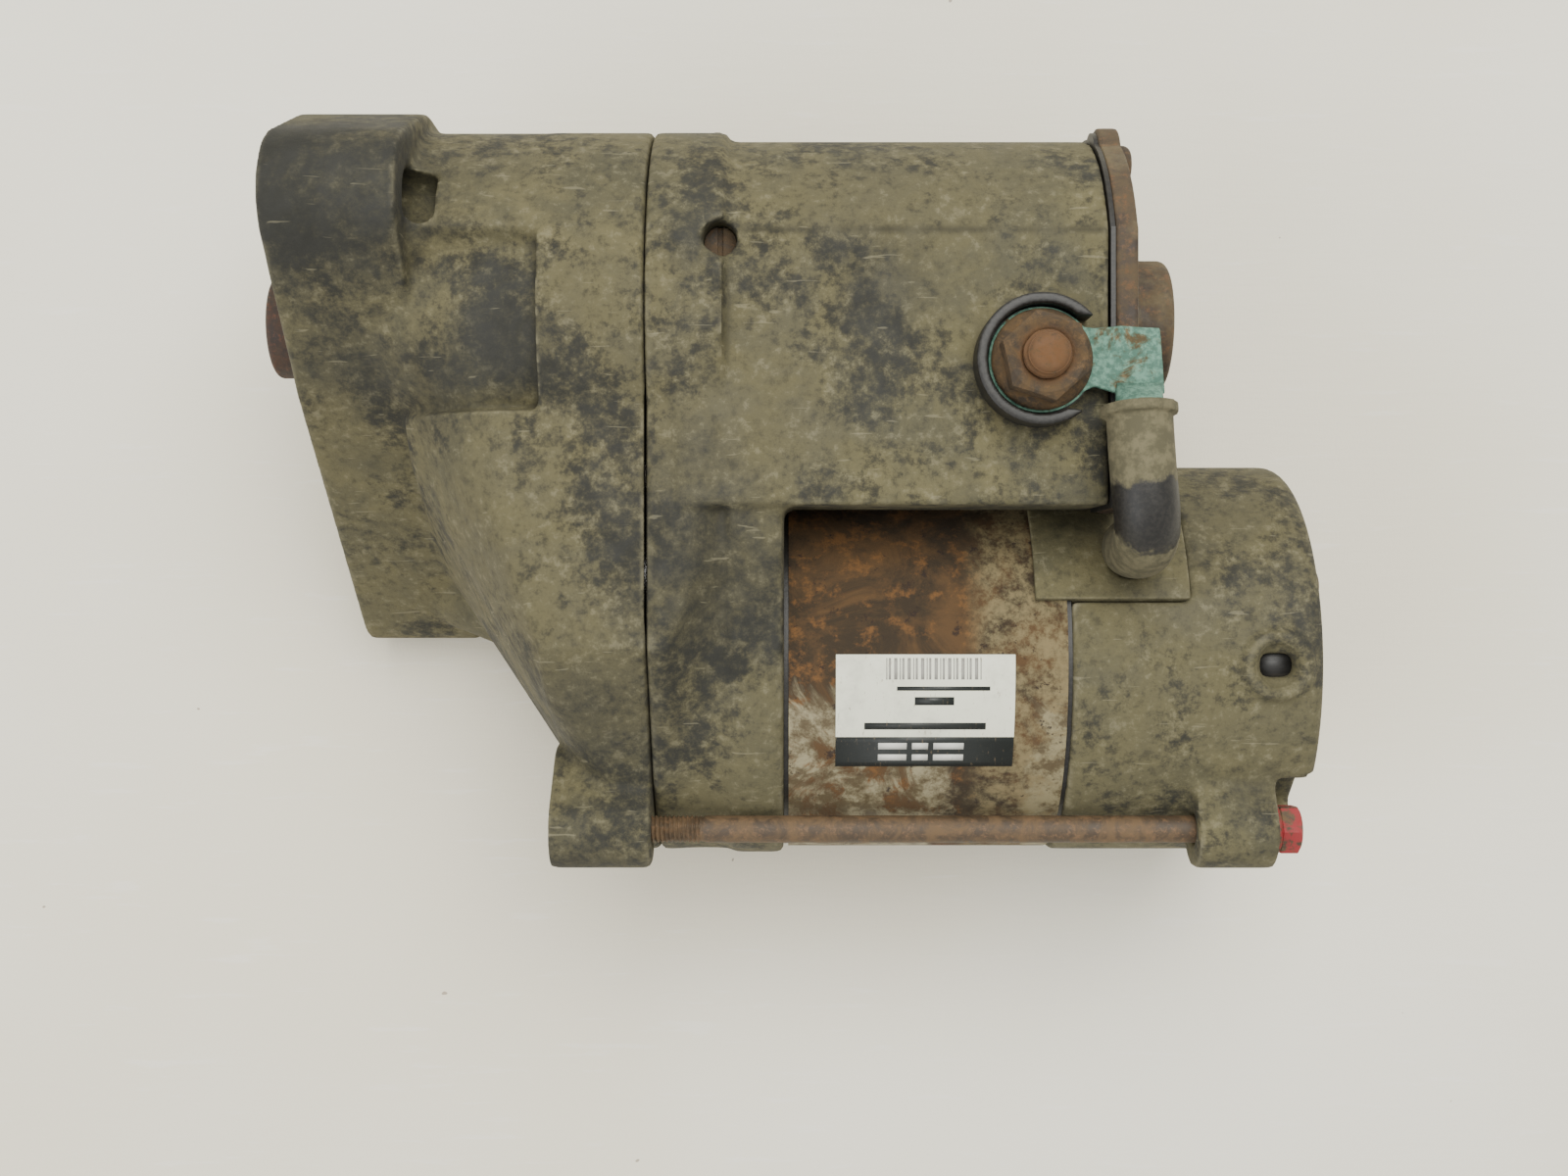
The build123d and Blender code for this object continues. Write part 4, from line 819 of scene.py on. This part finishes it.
def drain_boss():
    """A raised ring round the drain hole on top of the end cover, with a near-black disc down inside it as
    painted shade in the hole.
    """
    drain_x = 171.7
    place = along((drain_x, MOTOR_Y, MOTOR_Z + YOKE_R + 1.0), (0, 0, 1))
    profile = [(-4.0, 3.3), (-4.0, 6.6), (-0.6, 6.3), (0.3, 5.9), (0.6, 5.2), (0.6, 4.4), (0.1, 3.7),
               (-3.0, 3.3)]
    ring = turned(profile, place, 72)
    piece = joined("drain_boss_ring", [ring], "end_cover")
    sharpen(piece, 60)
    # Painted shade: a near-black disc a little way down the hole.
    plug = turned([(-4.0, 0.05), (-4.0, 3.4), (-2.2, 3.4), (-2.2, 0.05)], place, 48)
    dark = moulded("drain_hole_shade", rgb(16, 15, 14), rgb(40, 36, 30))
    joined("drain_hole_shade_disc", [plug], "end_cover", dark)


def lead_crimp():
    """The barrel that rises from the strap's end and grips the lead inside the sleeve's mouth."""
    low, high = box_mm("lead_lug")
    mouth = box_mm("lead_sleeve")[1]
    strap_y = -14.5
    barrel_x, barrel_z, barrel_r = 144.3, 39.0, 3.9
    sides = 40
    made = bmesh.new()
    for x in (high.x - 8.0, high.x - 0.6):
        for z in (low.z + 0.2, high.z + 0.6):
            made.verts.new((x * MM, strap_y * MM, z * MM))
    for y in (mouth.y - 0.8, mouth.y - 2.2):
        for k in range(sides):
            angle = 2 * pi * k / sides
            x, z = barrel_x + barrel_r * cos(angle), barrel_z + barrel_r * sin(angle)
            made.verts.new((x * MM, y * MM, z * MM))
    bmesh.ops.convex_hull(made, input=made.verts)
    mesh = bpy.data.meshes.new("crimp")
    made.to_mesh(mesh)
    made.free()
    sharpen(add_piece("lead_crimp", mesh, "lead_lug"), 50)


def coil_spring(node):
    """A coil spring, as a piece of its own with a copy of the CAD node's mesh."""
    piece = add_piece(node + "_coil", NODES[node].data.copy(), node)
    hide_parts(node)
    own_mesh(piece)


def dress_cad():
    """Gives every CAD node its slot's material."""
    for node, piece in NODES.items():
        piece.data.materials.clear()
        piece.data.materials.append(MATERIALS[SLOT_OF[node]])


# ---------------------------------------------------------------- drive casting

# Mounting ears: the (y, z) of each hole, and the radius of the metal round it
NEAR_EAR, FAR_EAR = (17.0, 28.0), (-46.5, -43.0)
EAR_R = 12.3

# Outside of the casting: radii round the three axes, the flat top and the stations along X
CASE_R, IDLER_CASE_R, MOTOR_CASE_R, SKIRT_R = 34.8, 24.8, 20.0, 36.6
NOSE_R, BARREL_R = 34.7, 30.6
FLAT_TOP_Z = 30.2
CASE_X, SKIRT_X = 45.0, 57.0

# Gear chamber: its front, its height, and its radii round the clutch, the idler and the armature's gear
CHAMBER_X, CHAMBER_TOP_Z = 46.6, 28.6
CLUTCH_ROOM_R, IDLER_ROOM_R, ARMATURE_ROOM_R = 31.4, 21.4, 12.6
BEHIND_X = 70.0

# Bores along X: radius, first and last x, and (y, z) of the axis
BORES = [
    (16.8, -5, 21.6, (0, 0)),
    (12.6, 20, 25.5, (0, 0)),
    (18.5, 25, 34.1, (0, 0)),
    (20.8, 33.9, 48, (0, 0)),
    (6.5, 37.6, 48, IDLER),
    (5.5, -5, 27.5, NEAR_EAR),
    (5.3, -5, 26.0, FAR_EAR),
]
BORES += [(2.6, 46.5, BEHIND_X, about_motor(BOLT_CIRCLE_R, turn)) for turn in BOLT_TURNS]


def case_section(motor_r):
    """The gear case's circles round the pinion's, the idler's and the armature's axes."""
    return [(0.0, 0.0, CASE_R), (*IDLER, IDLER_CASE_R), (MOTOR_Y, MOTOR_Z, motor_r)]


def ear_flange():
    """The plate that carries both mounting ears across the nose."""
    rounds = [(14.0, 8.0, 22.5), (*NEAR_EAR, EAR_R), (0.0, 0.0, 20.8), (*FAR_EAR, EAR_R)]
    return hull_solid([(0.05, rounds), (23.0, rounds)])


def round_nose(back_x):
    """The round nose with a pocket in its upper side, and the barrel that shows in the pocket."""
    pocket = prism_x([(-60, -4), (-4, 14), (-60, 60), (-4, 60)], 0, CASE_X)
    pocket_side = prism_x([(-5, 13.6), (3, 30), (13, 33.0), (13, 60), (-5, 60)], 0, CASE_X)
    taper = hull_solid([(14.0, [(8.0, 5.0, 22.5)]), (34.0, [(0.0, 0.0, BARREL_R)])])
    return combine(rod(NOSE_R, 22.5, back_x), ("DIFFERENCE", pocket), ("DIFFERENCE", pocket_side),
                   ("UNION", taper), ("UNION", rod(BARREL_R, 33.9, 47.0)))


def ear_web():
    """The web behind the far ear, which spreads back to the gear case."""
    roots = [(0.0, 0.0, 22.5), (-10.0, -5.0, 20.8), (-32.0, -28.0, 13.0)]
    return combine(hull_solid([(19.0, roots), (45.5, case_section(MOTOR_CASE_R))]),
                   ("INTERSECT", block(0, 70, -110, -18.2, -90, FLAT_TOP_Z)))


def gear_case(back_x):
    """The gear case, which widens to a skirt at its back, under a flat top."""
    case, skirt = case_section(MOTOR_CASE_R), case_section(SKIRT_R)
    return combine(hull_solid([(CASE_X, case), (SKIRT_X, skirt)]),
                   ("UNION", hull_solid([(SKIRT_X - 0.1, skirt), (back_x, skirt)])),
                   ("INTERSECT", block(0, 90, -120, 60, -90, FLAT_TOP_Z)))


def bolt_boss(turn, back_x):
    """The boss that a through bolt screws into, drawn in towards the armature's axis."""
    rounds = [(*about_motor(radius, turn), 6.85) for radius in (BOLT_CIRCLE_R, 30.0)]
    return hull_solid([(CASE_X - 0.05, rounds), (back_x, rounds)])


def gear_chamber():
    """The hollow round the three gears, open at the back."""
    rounds = [(0.0, 0.0, CLUTCH_ROOM_R), (*IDLER, IDLER_ROOM_R), (MOTOR_Y, MOTOR_Z, ARMATURE_ROOM_R)]
    return combine(hull_solid([(CHAMBER_X, rounds), (BEHIND_X, rounds)]),
                   ("INTERSECT", block(40, 80, -120, 60, -90, CHAMBER_TOP_Z)),
                   ("UNION", rod(CLUTCH_ROOM_R, CHAMBER_X, BEHIND_X)))


def drive_casting():
    """The nose, the two ears, the web behind the far ear and the gear case, with their bores."""
    back_x = box_mm("drive_housing")[1].x
    run_out = rod(12.0, 19.0, 31.0, (14.0, 22.0), 8.0)
    far_rib = hull_solid([(10.0, [(-44.0, -40.0, 9.0)]), (46.0, [(-58.0, -22.0, 8.0)])])
    added = [round_nose(back_x - 0.05), ear_web(), gear_case(back_x - 0.05), run_out, far_rib]
    added += [bolt_boss(turn, back_x - 0.1) for turn in BOLT_TURNS]
    removed = [gear_chamber()]
    removed += [rod(radius, start, end, axis) for radius, start, end, axis in BORES]
    steps = [("UNION", mesh) for mesh in added] + [("DIFFERENCE", mesh) for mesh in removed]
    return combine(ear_flange(), *steps)


# ---------------------------------------------------------------- the whole motor

dress_cad()
rounded("drive_housing", voxel=0.75, passes=5, source=drive_casting())
rounded("solenoid_housing", voxel=0.95, passes=4)
rounded("end_cover", voxel=0.8, passes=4)
rounded("solenoid_cover", voxel=0.45, passes=3)
boot_rubber = dusty_rubber("boot_rubber", -0.02)
rounded("terminal_boot", voxel=0.35, passes=3, material=boot_rubber)
grommet_dirt = cast_metal("dusty_grommet", [((150.0, -42.0, 24.0), 6.0, 0.6)])
rounded("lead_grommet", voxel=0.4, passes=3, material=grommet_dirt)
rounded("lead_lug", voxel=0.3, passes=3)
sleeve_rubber = dusty_rubber("lead_sleeve_rubber", 0.36, worn=((146.0, -36.0, 40.0), 10.0))
rounded("lead_sleeve", voxel=0.35, passes=2, material=sleeve_rubber)
through_bolts()
for side, name in ((1, "motor"), (-1, "battery")):
    terminal_nut(name + "_terminal_nut", side)
    terminal_stud(name + "_terminal_stud", side)
rating_label()
drain_boss()
lead_crimp()
coil_spring("pinion_spring")
coil_spring("plunger_return_spring")


# ---------------------------------------------------------------- floor, lights and camera

def cloth(ground):
    """A pale sheet under the motor, with long soft creases."""
    size, steps = 1.6, 160
    middle_x, middle_y = 0.09, -0.05
    mesh = bpy.data.meshes.new("cloth")
    points, faces = [], []
    for i in range(steps + 1):
        for j in range(steps + 1):
            x = (i / steps - 0.5) * size + middle_x
            y = (j / steps - 0.5) * size + middle_y
            crease = sin(y * 62 + 2.2 * sin(x * 9)) * 0.5 + sin(x * 17 + y * 23) * 0.5
            points.append((x, y, ground - 0.0009 - 0.0008 * crease))
    for i in range(steps):
        for j in range(steps):
            a = i * (steps + 1) + j
            faces.append((a, a + steps + 1, a + steps + 2, a + 1))
    mesh.from_pydata(points, [], faces)
    for face in mesh.polygons:
        face.use_smooth = True
    sheet = bpy.data.objects.new("cloth_floor", mesh)
    bpy.context.scene.collection.objects.link(sheet)
    s = Shader("pale_cloth", 0.95)
    slubs = s.noise(420, 3, 0.6, (0.12, 1, 1))
    weave = s.noise(2400, 2, 0.5, (1, 0.25, 1), 3)
    tone = s.noise(5, 3, 0.5, shift=2)
    colour = s.mix(s.step(tone, 0.35, 0.65), rgb(236, 229, 208), rgb(242, 238, 222))
    colour = s.mix(s.step(slubs, 0.6, 0.72, (0.0, 0.3)), colour, rgb(247, 244, 236))
    crumbs = s.step(s.noise(210, 2, 0.4, shift=14), 0.79, 0.8, (0.0, 0.6))
    colour = s.mix(crumbs, colour, rgb(110, 84, 64))
    mesh.materials.append(s.finish(colour, None, [(slubs, 0.25, 0.5), (weave, 0.1, 0.4)]))


def soft_light(name, place, target, size, power, colour):
    """A square area light that faces a target."""
    light = bpy.data.lights.new(name, "AREA")
    light.size = size
    light.energy = power
    light.color = colour
    lamp = bpy.data.objects.new(name, light)
    bpy.context.scene.collection.objects.link(lamp)
    lamp.location = place
    lamp.rotation_euler = (Vector(target) - Vector(place)).to_track_quat("-Z", "Y").to_euler()


low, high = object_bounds()
cloth(low.z)
centre = (low + high) / 2
soft_light("overhead", (0.25, 0.45, 1.15), centre, 0.9, 21.5, (1.0, 0.99, 0.94))
soft_light("fill", (-0.75, -0.55, 0.8), centre, 0.9, 7.0, (0.97, 0.98, 1.0))
world = bpy.data.worlds.new("soft_sky")
world.use_nodes = True
world.node_tree.nodes["Background"].inputs["Color"].default_value = (1.0, 0.99, 0.96, 1.0)
world.node_tree.nodes["Background"].inputs["Strength"].default_value = 0.8
bpy.context.scene.world = world

camera = bpy.data.cameras.new("camera")
camera.sensor_width = 36.0
camera.lens = 40.95
viewer = bpy.data.objects.new("camera", camera)
viewer.location = (0.0863, -0.0483, 0.330)
bpy.context.scene.collection.objects.link(viewer)
bpy.context.scene.camera = viewer
